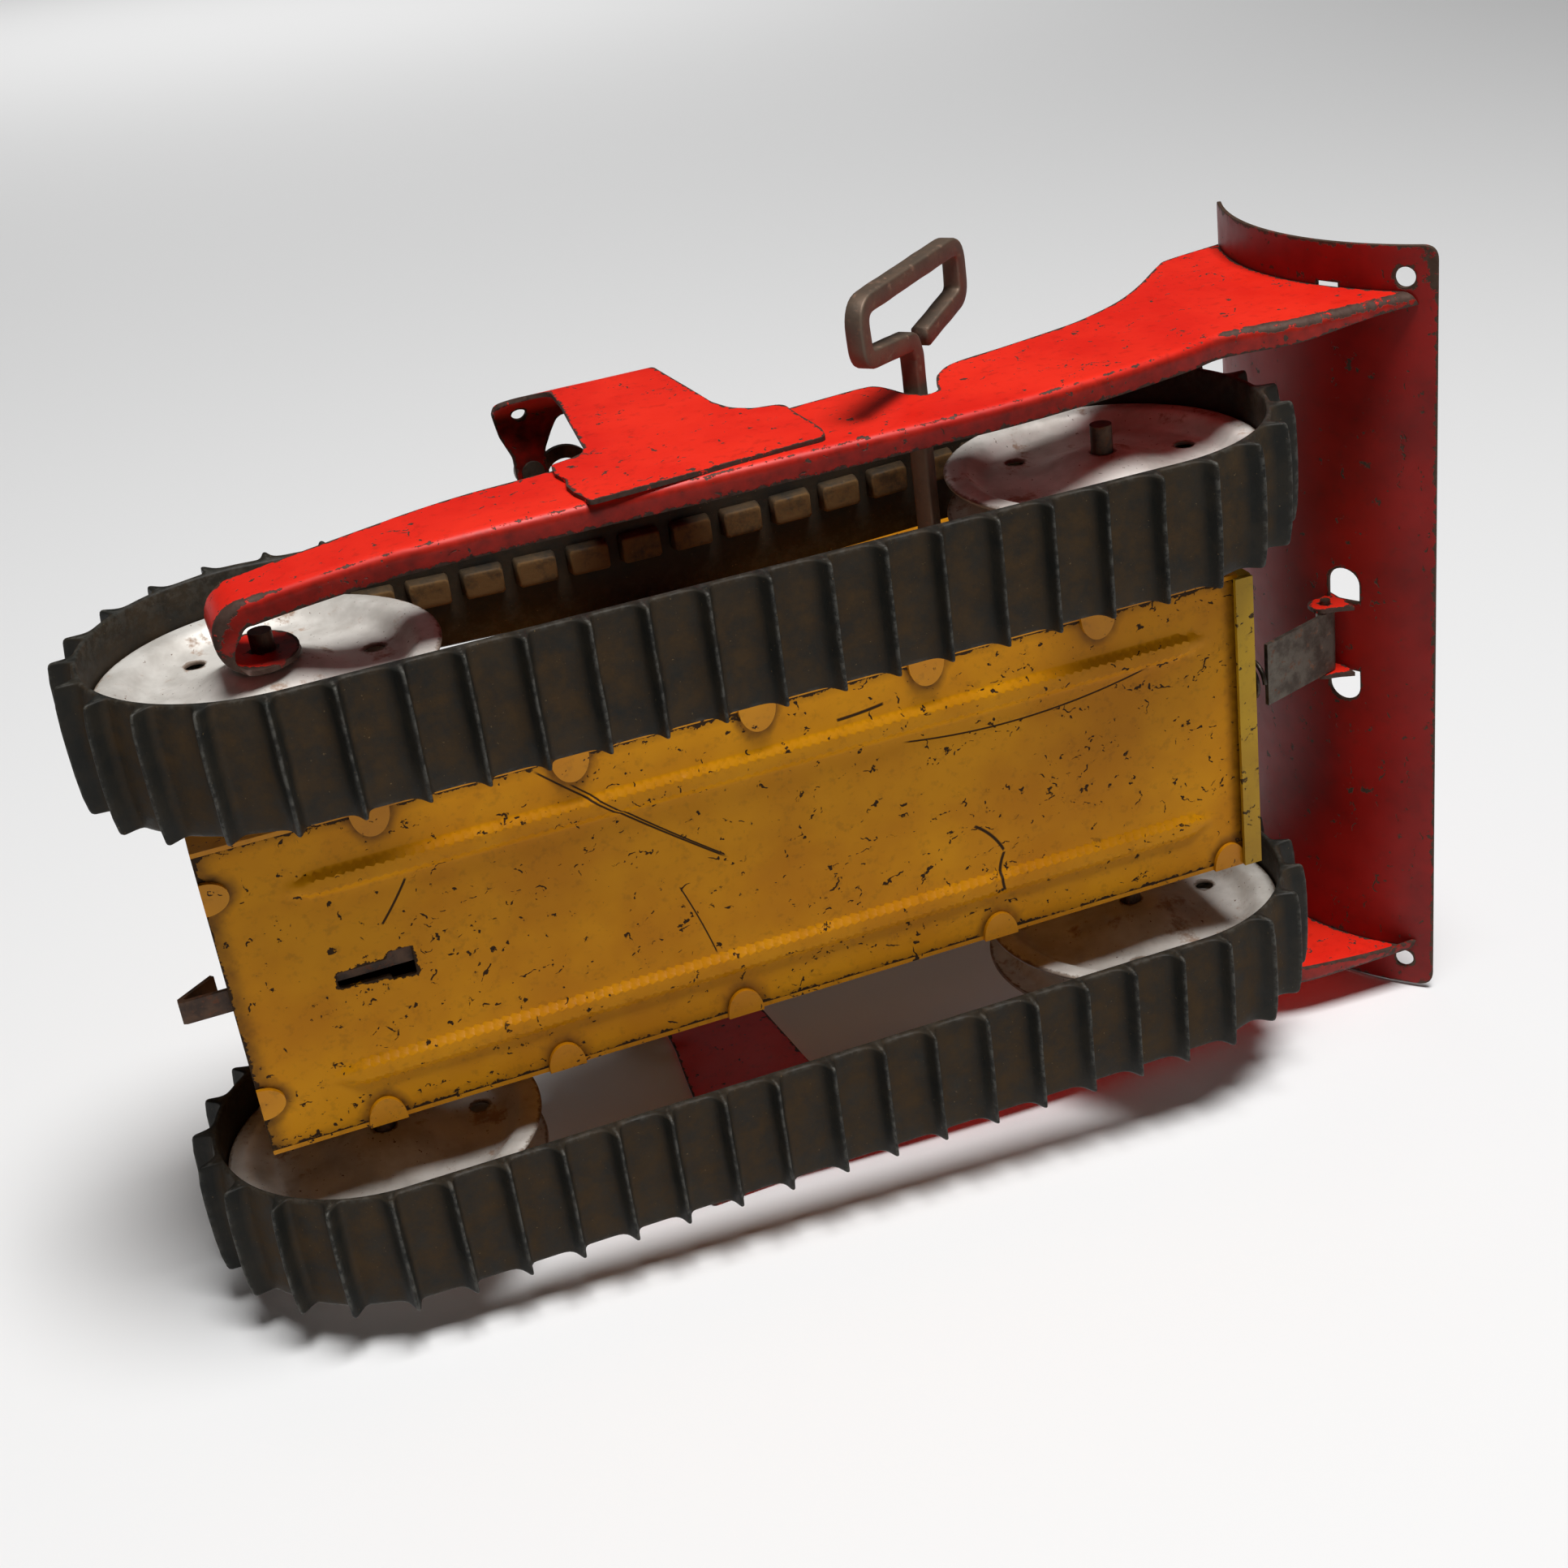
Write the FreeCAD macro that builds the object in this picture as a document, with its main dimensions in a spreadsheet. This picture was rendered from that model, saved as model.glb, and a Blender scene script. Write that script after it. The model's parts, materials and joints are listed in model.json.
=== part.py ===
"""Clockwork toy crawler bulldozer in pressed steel with rubber tracks.

Frame: origin at the centre of the base plate's underside, +X towards the blade,
+Y to the driver's left, +Z up. All lengths in millimetres.
"""
import FreeCAD, Part
import math
import os
from FreeCAD import Placement, Rotation, Vector

doc = FreeCAD.newDocument("crawler")

# ---------------------------------------------------------------- driving sizes
SIZES = {
    "sheet_gauge": 1.0,          # pressed steel sheet of the body, plate and arms
    "plate_length": 226.0,
    "plate_width": 69.2,
    "body_width": 71.2,
    "hood_top": 75.3,
    "hood_shoulder": 4.5,
    "deck_top": 46.0,
    "axle_height": 20.7,
    "axle_radius": 2.38,         # 3/16 inch steel rod
    "axle_reach": 68.5,          # centre plane to the end of each axle
    "rear_axle_x": -89.0,
    "front_axle_x": 93.0,
    "running_gap": 0.07,
    "belt_radius": 36.8,
    "belt_gauge": 2.0,
    "belt_width": 27.2,
    "belt_centre": 56.3,
    "fin_height": 4.5,
    "fin_count": 50,
    "guide_length": 9.4,
    "guide_width": 6.5,
    "guide_height": 3.2,
    "disc_radius": 34.5,
    "disc_gauge": 0.8,
    "disc_hole_radius": 2.1,
    "disc_hole_circle": 21.5,
    "hub_radius": 4.5,
    "sleeve_length": 9.9,        # between the two discs of a wheel
    "washer_gauge": 0.7,
    "washer_radius": 7.14,
    "arm_face": 84.0,            # outer face of each push arm
    "flange_width": 5.0,
    "foot_face": 64.5,           # outer face of the arm's pivot foot
    "bend_radius": 8.0,
    "blade_radius": 58.1,
    "blade_centre_x": 207.1,
    "blade_centre_z": 53.3,
    "blade_half_width": 94.0,
    "blade_corner": 3.5,
    "blade_hole_radius": 2.25,
    "pin_x": 151.0,
    "pin_z": 27.1,
    "pin_radius": 1.2,
    "ear_inner": 8.0,
    "key_x": 53.8,
    "key_z": 26.2,
    "key_wire": 4.0,
    "key_tilt": 42.0,            # degrees from the X axis
    "arbor_radius": 3.0,
    "small_arbor_radius": 1.5,
    "governor_arbor_radius": 1.0,
    "motor_right": -24.0,        # outer faces of the two motor plates
    "motor_left": 13.0,
    "tooth_module": 1.0,
    "great_teeth": 44,
    "pinion_teeth": 10,
    "middle_teeth": 36,
    "axle_teeth": 12,
    "governor_teeth": 8,
    "spring_wire": 0.55,         # radius of the link spring's wire
    "spring_coil": 4.3,
    "pillar_radius": 2.0,
    "governor_radius": 10.0,     # air brake disc on the last arbor
    "governor_gauge": 2.0,
    "lever_gauge": 1.0,
    "lever_width": 5.0,
}

sheet = doc.addObject("Spreadsheet::Sheet", "Sizes")
for row, (alias, value) in enumerate(SIZES.items(), start=1):
    sheet.set("A%d" % row, alias)
    sheet.set("B%d" % row, str(value))
    sheet.setAlias("B%d" % row, alias)
doc.recompute()


def dim(alias):
    """The value of one driving size, read back from the sheet."""
    return float(sheet.get(alias))


sub_parts = []


def keep(obj, label):
    """Register an object as a finished sub-part under its own name."""
    obj.Label = label
    sub_parts.append(obj)
    return obj


# ---------------------------------------------------------------- shared places
gauge = dim("sheet_gauge")
axle_z = dim("axle_height")
rear_x = dim("rear_axle_x")
front_x = dim("front_axle_x")
half_plate = dim("plate_length") / 2
half_body = dim("body_width") / 2
arm_face = dim("arm_face")
belt_y = dim("belt_centre")
KEY = (dim("key_x"), dim("key_z"))
FRONT_AXLE = (front_x, axle_z)
SIDES = (("right", -1), ("left", 1))
ALONG_Y = Rotation(Vector(0, 0, 1), Vector(0, 1, 0))
LEFT_TABS = (-88.8, -50.0, -9.8, 50.7, 108.4)
RIGHT_TABS = (-78.2, -37.5, 2.3, 39.7, 79.3)
TAB_REACH, TAB_HALF = 5.0, 4.0  # half-round tabs bent under the plate's long edges
REAR_TABS = (-25.6, 22.8)       # centres of the two tabs bent under the plate's rear edge
REAR_TAB_REACH, REAR_TAB_HALF = 4.7, 3.5
TAB_ROOM = 0.3                  # side clearance of the shallow seats under the tabs
RIB_HALF, RIB_Y = 2.5, 22.3     # half width and side offset of the plate's two ribs


# ---------------------------------------------------------------- helpers
def bound(obj, **expressions):
    """Bind properties of an object to cells of the sheet."""
    for prop, expression in expressions.items():
        obj.setExpression(prop, expression)
    return obj


def rod(name, radius, length, start, turn=ALONG_Y):
    """A cylinder that starts at a point and runs along the turned Z axis."""
    item = bound(doc.addObject("Part::Cylinder", name), Radius=radius, Height=length)
    item.Placement = Placement(start, turn)
    return item


def tube(name, outer, inner, length, start, turn=ALONG_Y):
    """A round tube made by cutting one cylinder from another."""
    cut = doc.addObject("Part::Cut", name)
    cut.Base = rod(name + "_outside", outer, length, start, turn)
    cut.Tool = rod(name + "_bore", inner, length, start, turn)
    return cut


def group(name, items):
    """Identical loose pieces kept together as separate solids."""
    pack = doc.addObject("Part::Compound", name)
    pack.Links = items
    return pack


def feature(label, shape, placement=None):
    """A sub-part whose shape is worked out by code."""
    item = doc.addObject("Part::Feature", label)
    item.Shape = shape
    if placement is not None:
        item.Placement = placement
    return keep(item, label)


def lines(points, closed=True):
    """Edges through a list of 3-D points."""
    ends = points[1:] + points[:1] if closed else points[1:]
    return [Part.LineSegment(a, b).toShape() for a, b in zip(points, ends)]


def side_prism(outline, y_low, y_high):
    """Solid with an (x, z) outline, between two Y planes."""
    wire = Part.Wire(lines([Vector(x, y_low, z) for x, z in outline]))
    return Part.Face(wire).extrude(Vector(0, y_high - y_low, 0))


def plan_prism(outline, z_low, z_high):
    """Solid with an (x, y) outline, between two Z planes."""
    wire = Part.Wire(lines([Vector(x, y, z_low) for x, y in outline]))
    return Part.Face(wire).extrude(Vector(0, 0, z_high - z_low))


def block(low, high):
    """Box between two corners."""
    size = Vector(*high) - Vector(*low)
    return Part.makeBox(size.x, size.y, size.z, Vector(*low))


def round_bar(radius, start, end):
    """Cylinder from one point to another."""
    run = Vector(*end) - Vector(*start)
    return Part.makeCylinder(radius, run.Length, Vector(*start), run)


def mirrored(shape):
    """The shape's twin on the other side of the centre plane."""
    return shape.mirror(Vector(0, 0, 0), Vector(0, 1, 0))


def origin_plane(body, role):
    """One of a body's own origin planes."""
    return next(plane for plane in body.Origin.OriginFeatures if plane.Role == role)


def sketch_on(body, role, name, geometry):
    """A sketch of ready geometry on one of the body's own planes."""
    sketch = body.newObject("Sketcher::SketchObject", name)
    sketch.AttachmentSupport = [(origin_plane(body, role), "")]
    sketch.MapMode = "FlatFace"
    sketch.addGeometry(geometry, False)
    return sketch


def pad(body, sketch, length, midplane=False, reverse=False):
    """Pad a sketch by a length bound to the sheet."""
    boss = body.newObject("PartDesign::Pad", sketch.Name + "_pad")
    boss.Profile = sketch
    boss.Midplane = midplane
    boss.Reversed = reverse
    bound(boss, Length=length)
    return boss


def flat_lines(points):
    """Closed run of 2-D sketch lines."""
    ends = points[1:] + points[:1]
    return [
        Part.LineSegment(Vector(*a, 0), Vector(*b, 0)) for a, b in zip(points, ends)
    ]


def flat_circle(x, y, radius):
    """2-D sketch circle."""
    return Part.Circle(Vector(x, y, 0), Vector(0, 0, 1), radius)


# ---------------------------------------------------------------- base plate
def base_plate():
    """Flat floor of the body with two pressed ribs and a slot over the stop lever."""
    half_width = dim("plate_width") / 2
    slot = [(-92.0, -1.5), (-76.2, -3.0), (-76.2, 3.0), (-92.0, 1.5)]
    corners = [(-half_plate, -half_width), (half_plate, -half_width),
               (half_plate, half_width), (-half_plate, half_width)]
    for y in reversed(REAR_TABS):
        corners += [(-half_plate, y + REAR_TAB_HALF), (-half_plate + gauge, y + REAR_TAB_HALF),
                    (-half_plate + gauge, y - REAR_TAB_HALF), (-half_plate, y - REAR_TAB_HALF)]
    body = doc.addObject("PartDesign::Body", "base_plate_body")
    floor = sketch_on(body, "XY_Plane", "floor", flat_lines(corners) + flat_lines(slot))
    pad(body, floor, "Sizes.sheet_gauge")
    for name, y in (("right_rib", -RIB_Y), ("left_rib", RIB_Y)):
        outline = [(-99.0, y), (-92.0, y - RIB_HALF), (100.0, y - RIB_HALF),
                   (106.0, y), (100.0, y + RIB_HALF), (-92.0, y + RIB_HALF)]
        rib = sketch_on(body, "XY_Plane", name, flat_lines(outline))
        pad(body, rib, "1.2 * Sizes.sheet_gauge", reverse=True)
    # shallow seats: the body's bent tabs and the grille's hem lie in them
    hem_edge = half_plate - 2.2
    past_x, past_y = half_plate + 7.0, half_width + 5.4
    seats = []
    for tabs, side in ((RIGHT_TABS, -1), (LEFT_TABS, 1)):
        inner = side * (half_body - gauge - TAB_REACH - TAB_ROOM)
        for x in tabs:
            low, high = x - TAB_HALF - TAB_ROOM, min(x + TAB_HALF + TAB_ROOM, hem_edge)
            seats += flat_lines([(low, inner), (high, inner),
                                 (high, side * past_y), (low, side * past_y)])
    for y in REAR_TABS:
        inner = -half_plate + gauge / 2 + REAR_TAB_REACH + TAB_ROOM
        low, high = y - REAR_TAB_HALF - TAB_ROOM, y + REAR_TAB_HALF + TAB_ROOM
        seats += flat_lines([(-past_x, low), (inner, low), (inner, high), (-past_x, high)])
    lip = flat_lines([(hem_edge, -past_y), (past_x, -past_y), (past_x, past_y), (hem_edge, past_y)])
    for name, outline in (("tab_seats", seats), ("lip_seat", lip)):
        pocket = body.newObject("PartDesign::Pocket", name + "_pocket")
        pocket.Profile = sketch_on(body, "XY_Plane", name, outline)
        pocket.Reversed = True
        bound(pocket, Length="0.05 * Sizes.sheet_gauge")
    return keep(body, "base_plate")


base_plate()


# ---------------------------------------------------------------- body shell
def hood_section(x_low, x_high, top, shoulder, inset):
    """Prism along X with two rounded top shoulders."""
    side = half_body - inset
    crown = top - inset
    radius = shoulder - inset
    low, high = -20.0, crown - radius
    cut_45 = radius * math.sqrt(0.5)
    edges = lines([Vector(x_low, -side + radius, crown), Vector(x_low, side - radius, crown)],
                  closed=False)
    edges.append(Part.Arc(Vector(x_low, side - radius, crown),
                          Vector(x_low, side - radius + cut_45, high + cut_45),
                          Vector(x_low, side, high)).toShape())
    edges += lines([Vector(x_low, side, high), Vector(x_low, side, low),
                    Vector(x_low, -side, low), Vector(x_low, -side, high)], closed=False)
    edges.append(Part.Arc(Vector(x_low, -side, high),
                          Vector(x_low, -side + radius - cut_45, high + cut_45),
                          Vector(x_low, -side + radius, crown)).toShape())
    return Part.Face(Part.Wire(edges)).extrude(Vector(x_high - x_low, 0, 0))


def body_shell():
    """Hood, cowl and rear deck pressed from one sheet, with tabs bent under the plate."""
    deck = dim("deck_top")
    hood = dim("hood_top")
    cowl_x, tank_x = -23.0, -96.0

    def profile(inset):
        """Side outline of the shell, moved inwards by the sheet's gauge."""
        return [(-half_plate + inset, -10.0), (-half_plate + inset, 62.0 - inset),
                (tank_x - inset, 62.0 - inset), (tank_x - inset, deck - inset),
                (-52.0 + inset / 2, deck - inset), (cowl_x - 3.0, 66.0 - inset),
                (cowl_x + inset, 66.0 - inset), (cowl_x + inset, hood + 1.0),
                (half_plate + 5.0, hood + 1.0), (half_plate + 5.0, -10.0)]

    def solid(inset):
        rounded = hood_section(-half_plate - 5, half_plate + (5 if inset else 0), hood,
                               dim("hood_shoulder"), inset)
        return rounded.common(side_prism(profile(inset), -60.0, 60.0))

    low_box = block((-200, -60, -20), (200, 60, 0))
    shell = solid(0.0).cut(solid(gauge)).cut(low_box)
    # bores for the axles, the key and the stop lever
    bore = dim("axle_radius") + dim("running_gap")
    for x in (rear_x, front_x):
        shell = shell.cut(round_bar(bore, (x, -60, axle_z), (x, 60, axle_z)))
    shell = shell.cut(round_bar(4.2, (KEY[0], -60, KEY[1]), (KEY[0], -20, KEY[1])))
    lever_slot = block((-half_plate - 1, -4.5, 1.0), (-half_plate + 2, 1.5, 2.9))
    shell = shell.cut(lever_slot)
    # half-round tabs, folded flat under the plate
    for tabs, side in ((RIGHT_TABS, -1), (LEFT_TABS, 1)):
        for x in tabs:
            edge = side * (half_body - gauge / 2)
            ends = half_plate - 0.05
            tab = Part.makeCylinder(TAB_HALF, gauge)
            scale = FreeCAD.Matrix()
            scale.scale(1.0, (TAB_REACH + gauge / 2) / TAB_HALF, 1.0)
            tab = tab.transformGeometry(scale)
            tab.translate(Vector(x, edge, -gauge))
            keep_side = block((-ends, min(0, side * half_body), -gauge),
                              (ends, max(0, side * half_body), 0))
            root = block((max(x - TAB_HALF, -ends), min(edge, side * half_body), -gauge),
                         (min(x + TAB_HALF, ends), max(edge, side * half_body), 0.5))
            shell = shell.fuse(tab.common(keep_side)).fuse(root)
    plate_space = block((-half_plate, -dim("plate_width") / 2, 0),
                        (half_plate, dim("plate_width") / 2, gauge))
    shell = shell.cut(plate_space)
    for y in REAR_TABS:
        tab = Part.makeCylinder(REAR_TAB_HALF, gauge, Vector(0, y, -gauge))
        scale = FreeCAD.Matrix()
        scale.scale(REAR_TAB_REACH / REAR_TAB_HALF, 1.0, 1.0)
        tab = tab.transformGeometry(scale)
        tab.translate(Vector(-half_plate + gauge / 2, 0, 0))
        tab = tab.common(block((-half_plate, -60, -gauge), (0, 60, 0)))
        root = block((-half_plate, y - REAR_TAB_HALF, -gauge),
                     (-half_plate + gauge, y + REAR_TAB_HALF, 2 * gauge))
        shell = shell.fuse(tab).fuse(root)
    return feature("body_shell", shell.removeSplitter())


body_shell()


def front_grille():
    """Pressed radiator pan on the hood's open front, with a hem under the plate."""
    hood = dim("hood_top")
    face_x, flange = half_plate + 2.5, half_plate + 1.5
    shoulder = dim("hood_shoulder")
    outside = hood_section(half_plate, face_x, hood, shoulder, 0.0)
    inside = hood_section(half_plate - 1, flange, hood, shoulder, gauge)
    pan = outside.cut(inside).cut(block((0, -60, -30), (200, 60, -1.3)))
    pan = pan.cut(block((half_plate - 2, -half_body + gauge, -1.3),
                        (flange, half_body - gauge, 20)))
    hem = block((half_plate - 1.7, -half_body + 0.2, -2.3), (face_x, half_body - 0.2, -1.3))
    pan = pan.fuse(hem)
    for count in range(9):
        y = (count - 4) * 6.5
        bar = block((face_x - 0.1, y - 1.0, 33.0), (face_x + 0.8, y + 1.0, 68.0))
        pan = pan.fuse(bar)
    pan = pan.cut(round_bar(1.3, (half_plate - 5, 0, 18.0), (half_plate + 10, 0, 18.0)))
    return feature("front_grille", pan.removeSplitter())


front_grille()


def driver_seat():
    """Folded seat pan and back that stands on the rear deck."""
    deck = dim("deck_top")
    side = [(-92.0, deck), (-92.0, deck + 15.0), (-89.0, deck + 16.0), (-88.0, deck + 9.0),
            (-86.0, deck + 6.0), (-68.0, deck + 6.5), (-66.5, deck + 5.0), (-66.5, deck)]
    body = doc.addObject("PartDesign::Body", "driver_seat_body")
    outline = sketch_on(body, "XZ_Plane", "seat_side", flat_lines(side))
    pad(body, outline, "0.55 * Sizes.body_width", midplane=True)
    return keep(body, "driver_seat")


driver_seat()


# ---------------------------------------------------------------- tracks
STRAIGHT = front_x - rear_x


def oval_length(radius):
    """Length once round the belt at a radius from the axles."""
    return 2 * STRAIGHT + 2 * math.pi * radius


def oval_point(station, radius, height=0.0):
    """Point on the belt's oval: forward below, rearward above, height outwards."""
    station = station % oval_length(radius)
    turn = math.pi * radius
    if station < STRAIGHT:
        return Vector(rear_x + station, 0, axle_z - radius - height)
    station -= STRAIGHT
    if station < turn:
        angle = -math.pi / 2 + station / radius
        reach = radius + height
        return Vector(front_x + reach * math.cos(angle), 0, axle_z + reach * math.sin(angle))
    station -= turn
    if station < STRAIGHT:
        return Vector(front_x - station, 0, axle_z + radius + height)
    angle = math.pi / 2 + (station - STRAIGHT) / radius
    reach = radius + height
    return Vector(rear_x + reach * math.cos(angle), 0, axle_z + reach * math.sin(angle))


def oval_run(start, end, radius):
    """Edges along the oval between two stations, split where arcs meet straights."""
    turn = math.pi * radius
    joins = [STRAIGHT, STRAIGHT + turn, 2 * STRAIGHT + turn, 2 * STRAIGHT + 2 * turn]
    joins += [join + oval_length(radius) for join in joins]
    stops = [start] + [join for join in joins if start + 1e-6 < join < end - 1e-6] + [end]
    edges = []
    for low, high in zip(stops[:-1], stops[1:]):
        first, middle, last = (oval_point(s, radius) for s in (low, (low + high) / 2, high))
        on_straight = abs((middle - (first + last) * 0.5).Length) < 1e-6
        curve = Part.LineSegment(first, last) if on_straight else Part.Arc(first, middle, last)
        edges.append(curve.toShape())
    return edges


def toothed_loop(radius, count, first, tooth):
    """Closed oval wire that carries a tooth profile at equal steps."""
    step = oval_length(radius) / count
    edges = []
    for index in range(count):
        root = first + index * step
        points = [oval_point(root + along, radius, height) for along, height in tooth]
        edges += lines(points, closed=False)
        edges += oval_run(root + tooth[-1][0], root + step + tooth[0][0], radius)
    return Part.Wire(edges)


def track_belt(side, first_fin):
    """Moulded rubber belt with asymmetric fins outside and guide blocks inside."""
    outer = dim("belt_radius")
    inner = outer - dim("belt_gauge")
    middle = outer - dim("belt_gauge") / 2
    count = int(dim("fin_count"))
    tall = dim("fin_height")
    fin = [(-2.9, 0.0), (-1.5, 0.3 * tall), (-0.5, 0.95 * tall), (0.1, tall),
           (0.6, 0.3 * tall), (1.4, 0.0)]
    half_guide = dim("guide_length") / 2
    deep = middle - inner + dim("guide_height")
    guide = [(-half_guide, 0.0), (-half_guide + 0.6, -deep), (half_guide - 0.6, -deep),
             (half_guide, 0.0)]
    inside = Part.Wire(oval_run(0.0, oval_length(inner), inner))
    across = Vector(0, dim("belt_width"), 0)
    band = Part.Face(toothed_loop(outer, count, first_fin, fin)).extrude(across)
    band = band.cut(Part.Face(inside).extrude(across))
    band.translate(Vector(0, -dim("belt_width") / 2, 0))
    shift = first_fin * oval_length(middle) / oval_length(outer)
    guides = []
    step = oval_length(middle) / count
    for index in range(count):
        root = shift + (index + 0.5) * step
        points = [oval_point(root + along, middle, height) for along, height in guide]
        guides.append(Part.Face(Part.Wire(lines(points))).extrude(Vector(0, dim("guide_width"), 0)))
    for item in guides:
        item.translate(Vector(0, -dim("guide_width") / 2, 0))
    belt = band.multiFuse(guides)
    belt.translate(Vector(0, side * belt_y, 0))
    return belt


feature("right_track_belt", track_belt(-1, 8.67))
feature("left_track_belt", track_belt(1, 7.67))


# ---------------------------------------------------------------- wheels and axles
def wheel_disc(label, x, outward, face):
    """Dished sheet disc: rim, sloping web, flat floor, step and raised hub dome."""
    rim = dim("disc_radius")
    thick = dim("disc_gauge")
    bore = dim("axle_radius") + 0.02
    section = [(bore, 0.9), (6.0, 0.6), (11.0, -0.6), (12.5, -2.6), (15.0, -3.4),
               (26.5, -3.4), (31.0, 0.0), (rim, 0.0)]
    outside = [(radius, depth) for radius, depth in section]
    inside = [(radius, depth - thick) for radius, depth in reversed(section)]
    body = doc.addObject("PartDesign::Body", label + "_body")
    sketch = sketch_on(body, "XY_Plane", label + "_section", flat_lines(outside + inside))
    turn = body.newObject("PartDesign::Revolution", label + "_turn")
    turn.Profile = sketch
    turn.ReferenceAxis = (sketch, ["V_Axis"])
    turn.Angle = 360
    holes = sketch_on(body, "XZ_Plane", label + "_holes", [
        flat_circle(dim("disc_hole_circle") * math.cos(math.radians(angle)),
                    dim("disc_hole_circle") * math.sin(math.radians(angle)),
                    dim("disc_hole_radius"))
        for angle in (8.0, 128.0, 248.0)])
    cut = body.newObject("PartDesign::Pocket", label + "_pierce")
    cut.Profile = holes
    cut.Type = "ThroughAll"
    cut.Midplane = True
    turned = Rotation() if outward > 0 else Rotation(Vector(1, 0, 0), 180)
    body.Placement = Placement(Vector(x, face, axle_z), turned)
    return keep(body, label)


for axle, x in (("rear", rear_x), ("front", front_x)):
    for hand, side in SIDES:
        wheel_disc("%s_%s_outer_disc" % (axle, hand), x, side, side * (belt_y + 5.1))
        wheel_disc("%s_%s_inner_disc" % (axle, hand), x, -side, side * (belt_y - 5.1))
    sleeves = []
    for hand, side in SIDES:
        start = Vector(x, side * belt_y - dim("sleeve_length") / 2, axle_z)
        sleeves.append(tube("%s_%s_sleeve" % (axle, hand), "Sizes.hub_radius",
                            "Sizes.axle_radius + 0.02", "Sizes.sleeve_length", start))
    keep(group("%s_sleeve_pair" % axle, sleeves), "%s_hub_sleeves" % axle)
    start = Vector(x, -dim("axle_reach"), axle_z)
    keep(rod("%s_axle_rod" % axle, "Sizes.axle_radius", "2 * Sizes.axle_reach", start),
         "%s_axle" % axle)

washers = []
for hand, side in SIDES:
    near = side * (belt_y + 6.3) - (dim("washer_gauge") if side < 0 else 0.0)
    washers.append(tube("rear_%s_washer" % hand, "Sizes.washer_radius",
                        "Sizes.axle_radius + 0.02", "Sizes.washer_gauge",
                        Vector(rear_x, near, axle_z)))
keep(group("washer_pair", washers), "rear_axle_washers")


# ---------------------------------------------------------------- clockwork motor
def third_corner(first, second, from_first, from_second):
    """Point at given distances from two centres, on the upper side."""
    span_x, span_z = second[0] - first[0], second[1] - first[1]
    span = math.hypot(span_x, span_z)
    along = (from_first ** 2 - from_second ** 2 + span ** 2) / (2 * span)
    rise = math.sqrt(from_first ** 2 - along ** 2)
    unit = (span_x / span, span_z / span)
    return (first[0] + along * unit[0] - rise * unit[1],
            first[1] + along * unit[1] + rise * unit[0])


def centre_distance(first, second):
    """Distance between the centres of two meshing gears."""
    return dim("tooth_module") * (dim(first) + dim(second)) / 2


MIDDLE = third_corner(KEY, FRONT_AXLE, centre_distance("great_teeth", "pinion_teeth"),
                      centre_distance("middle_teeth", "axle_teeth"))
governor_angle = math.radians(100.0)
governor_reach = centre_distance("middle_teeth", "governor_teeth")
GOVERNOR = (MIDDLE[0] + governor_reach * math.cos(governor_angle),
            MIDDLE[1] + governor_reach * math.sin(governor_angle))


def bearing(first, second):
    """Angle in the XZ plane from one centre to another, in degrees."""
    return math.degrees(math.atan2(second[1] - first[1], second[0] - first[0]))


def gear_face(centre, teeth, phase, y):
    """Involute gear outline with slim teeth; one tooth points along the phase angle."""
    module = dim("tooth_module")
    pitch_r = teeth * module / 2
    base_r = pitch_r * math.cos(math.radians(20.0))
    tip_r = pitch_r + 0.8 * module
    root_r = pitch_r - 1.15 * module
    backlash = 0.12 / pitch_r

    def involute(radius):
        ratio = max(1.0, radius / base_r)
        swing = math.acos(1.0 / ratio)
        return math.tan(swing) - swing

    half_pitch = math.pi / (2 * teeth) - backlash
    radii = [max(root_r, base_r), pitch_r, tip_r]
    halves = [half_pitch + involute(pitch_r) - involute(r) for r in radii]
    points = []
    for index in range(teeth):
        middle = math.radians(phase) + 2 * math.pi * index / teeth
        flank = [(root_r, middle - halves[0])]
        flank += [(r, middle - h) for r, h in zip(radii, halves)]
        flank += [(r, middle + h) for r, h in zip(reversed(radii), reversed(halves))]
        flank.append((root_r, middle + halves[0]))
        for radius, angle in flank:
            point = Vector(centre[0] + radius * math.cos(angle), y,
                           centre[1] + radius * math.sin(angle))
            if not points or (point - points[-1]).Length > 1e-4:
                points.append(point)
    return Part.Face(Part.Wire(lines(points)))


def gear(label, centre, teeth, phase, y_low, y_high, bore):
    """Flat gear between two Y planes with a round bore."""
    wheel = gear_face(centre, teeth, phase, y_low).extrude(Vector(0, y_high - y_low, 0))
    wheel = wheel.cut(round_bar(bore, (centre[0], y_low - 1, centre[1]),
                                (centre[0], y_high + 1, centre[1])))
    return feature(label, wheel)


great_teeth = int(dim("great_teeth"))
pinion_teeth = int(dim("pinion_teeth"))
middle_teeth = int(dim("middle_teeth"))
axle_teeth = int(dim("axle_teeth"))
governor_teeth = int(dim("governor_teeth"))
running_gap = dim("running_gap")
press_gap = 0.02
great_phase = bearing(KEY, MIDDLE)
middle_phase = bearing(MIDDLE, FRONT_AXLE)
to_governor = bearing(MIDDLE, GOVERNOR)
slip = ((to_governor - middle_phase) * middle_teeth / 360.0) % 1.0
gear("great_wheel", KEY, great_teeth, great_phase, -0.6, 1.0, dim("arbor_radius") + running_gap)
gear("middle_pinion", MIDDLE, pinion_teeth, bearing(MIDDLE, KEY) + 180.0 / pinion_teeth,
     -1.2, 2.2, dim("small_arbor_radius") + press_gap)
gear("middle_wheel", MIDDLE, middle_teeth, middle_phase, 3.5, 5.1,
     dim("small_arbor_radius") + press_gap)
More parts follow.
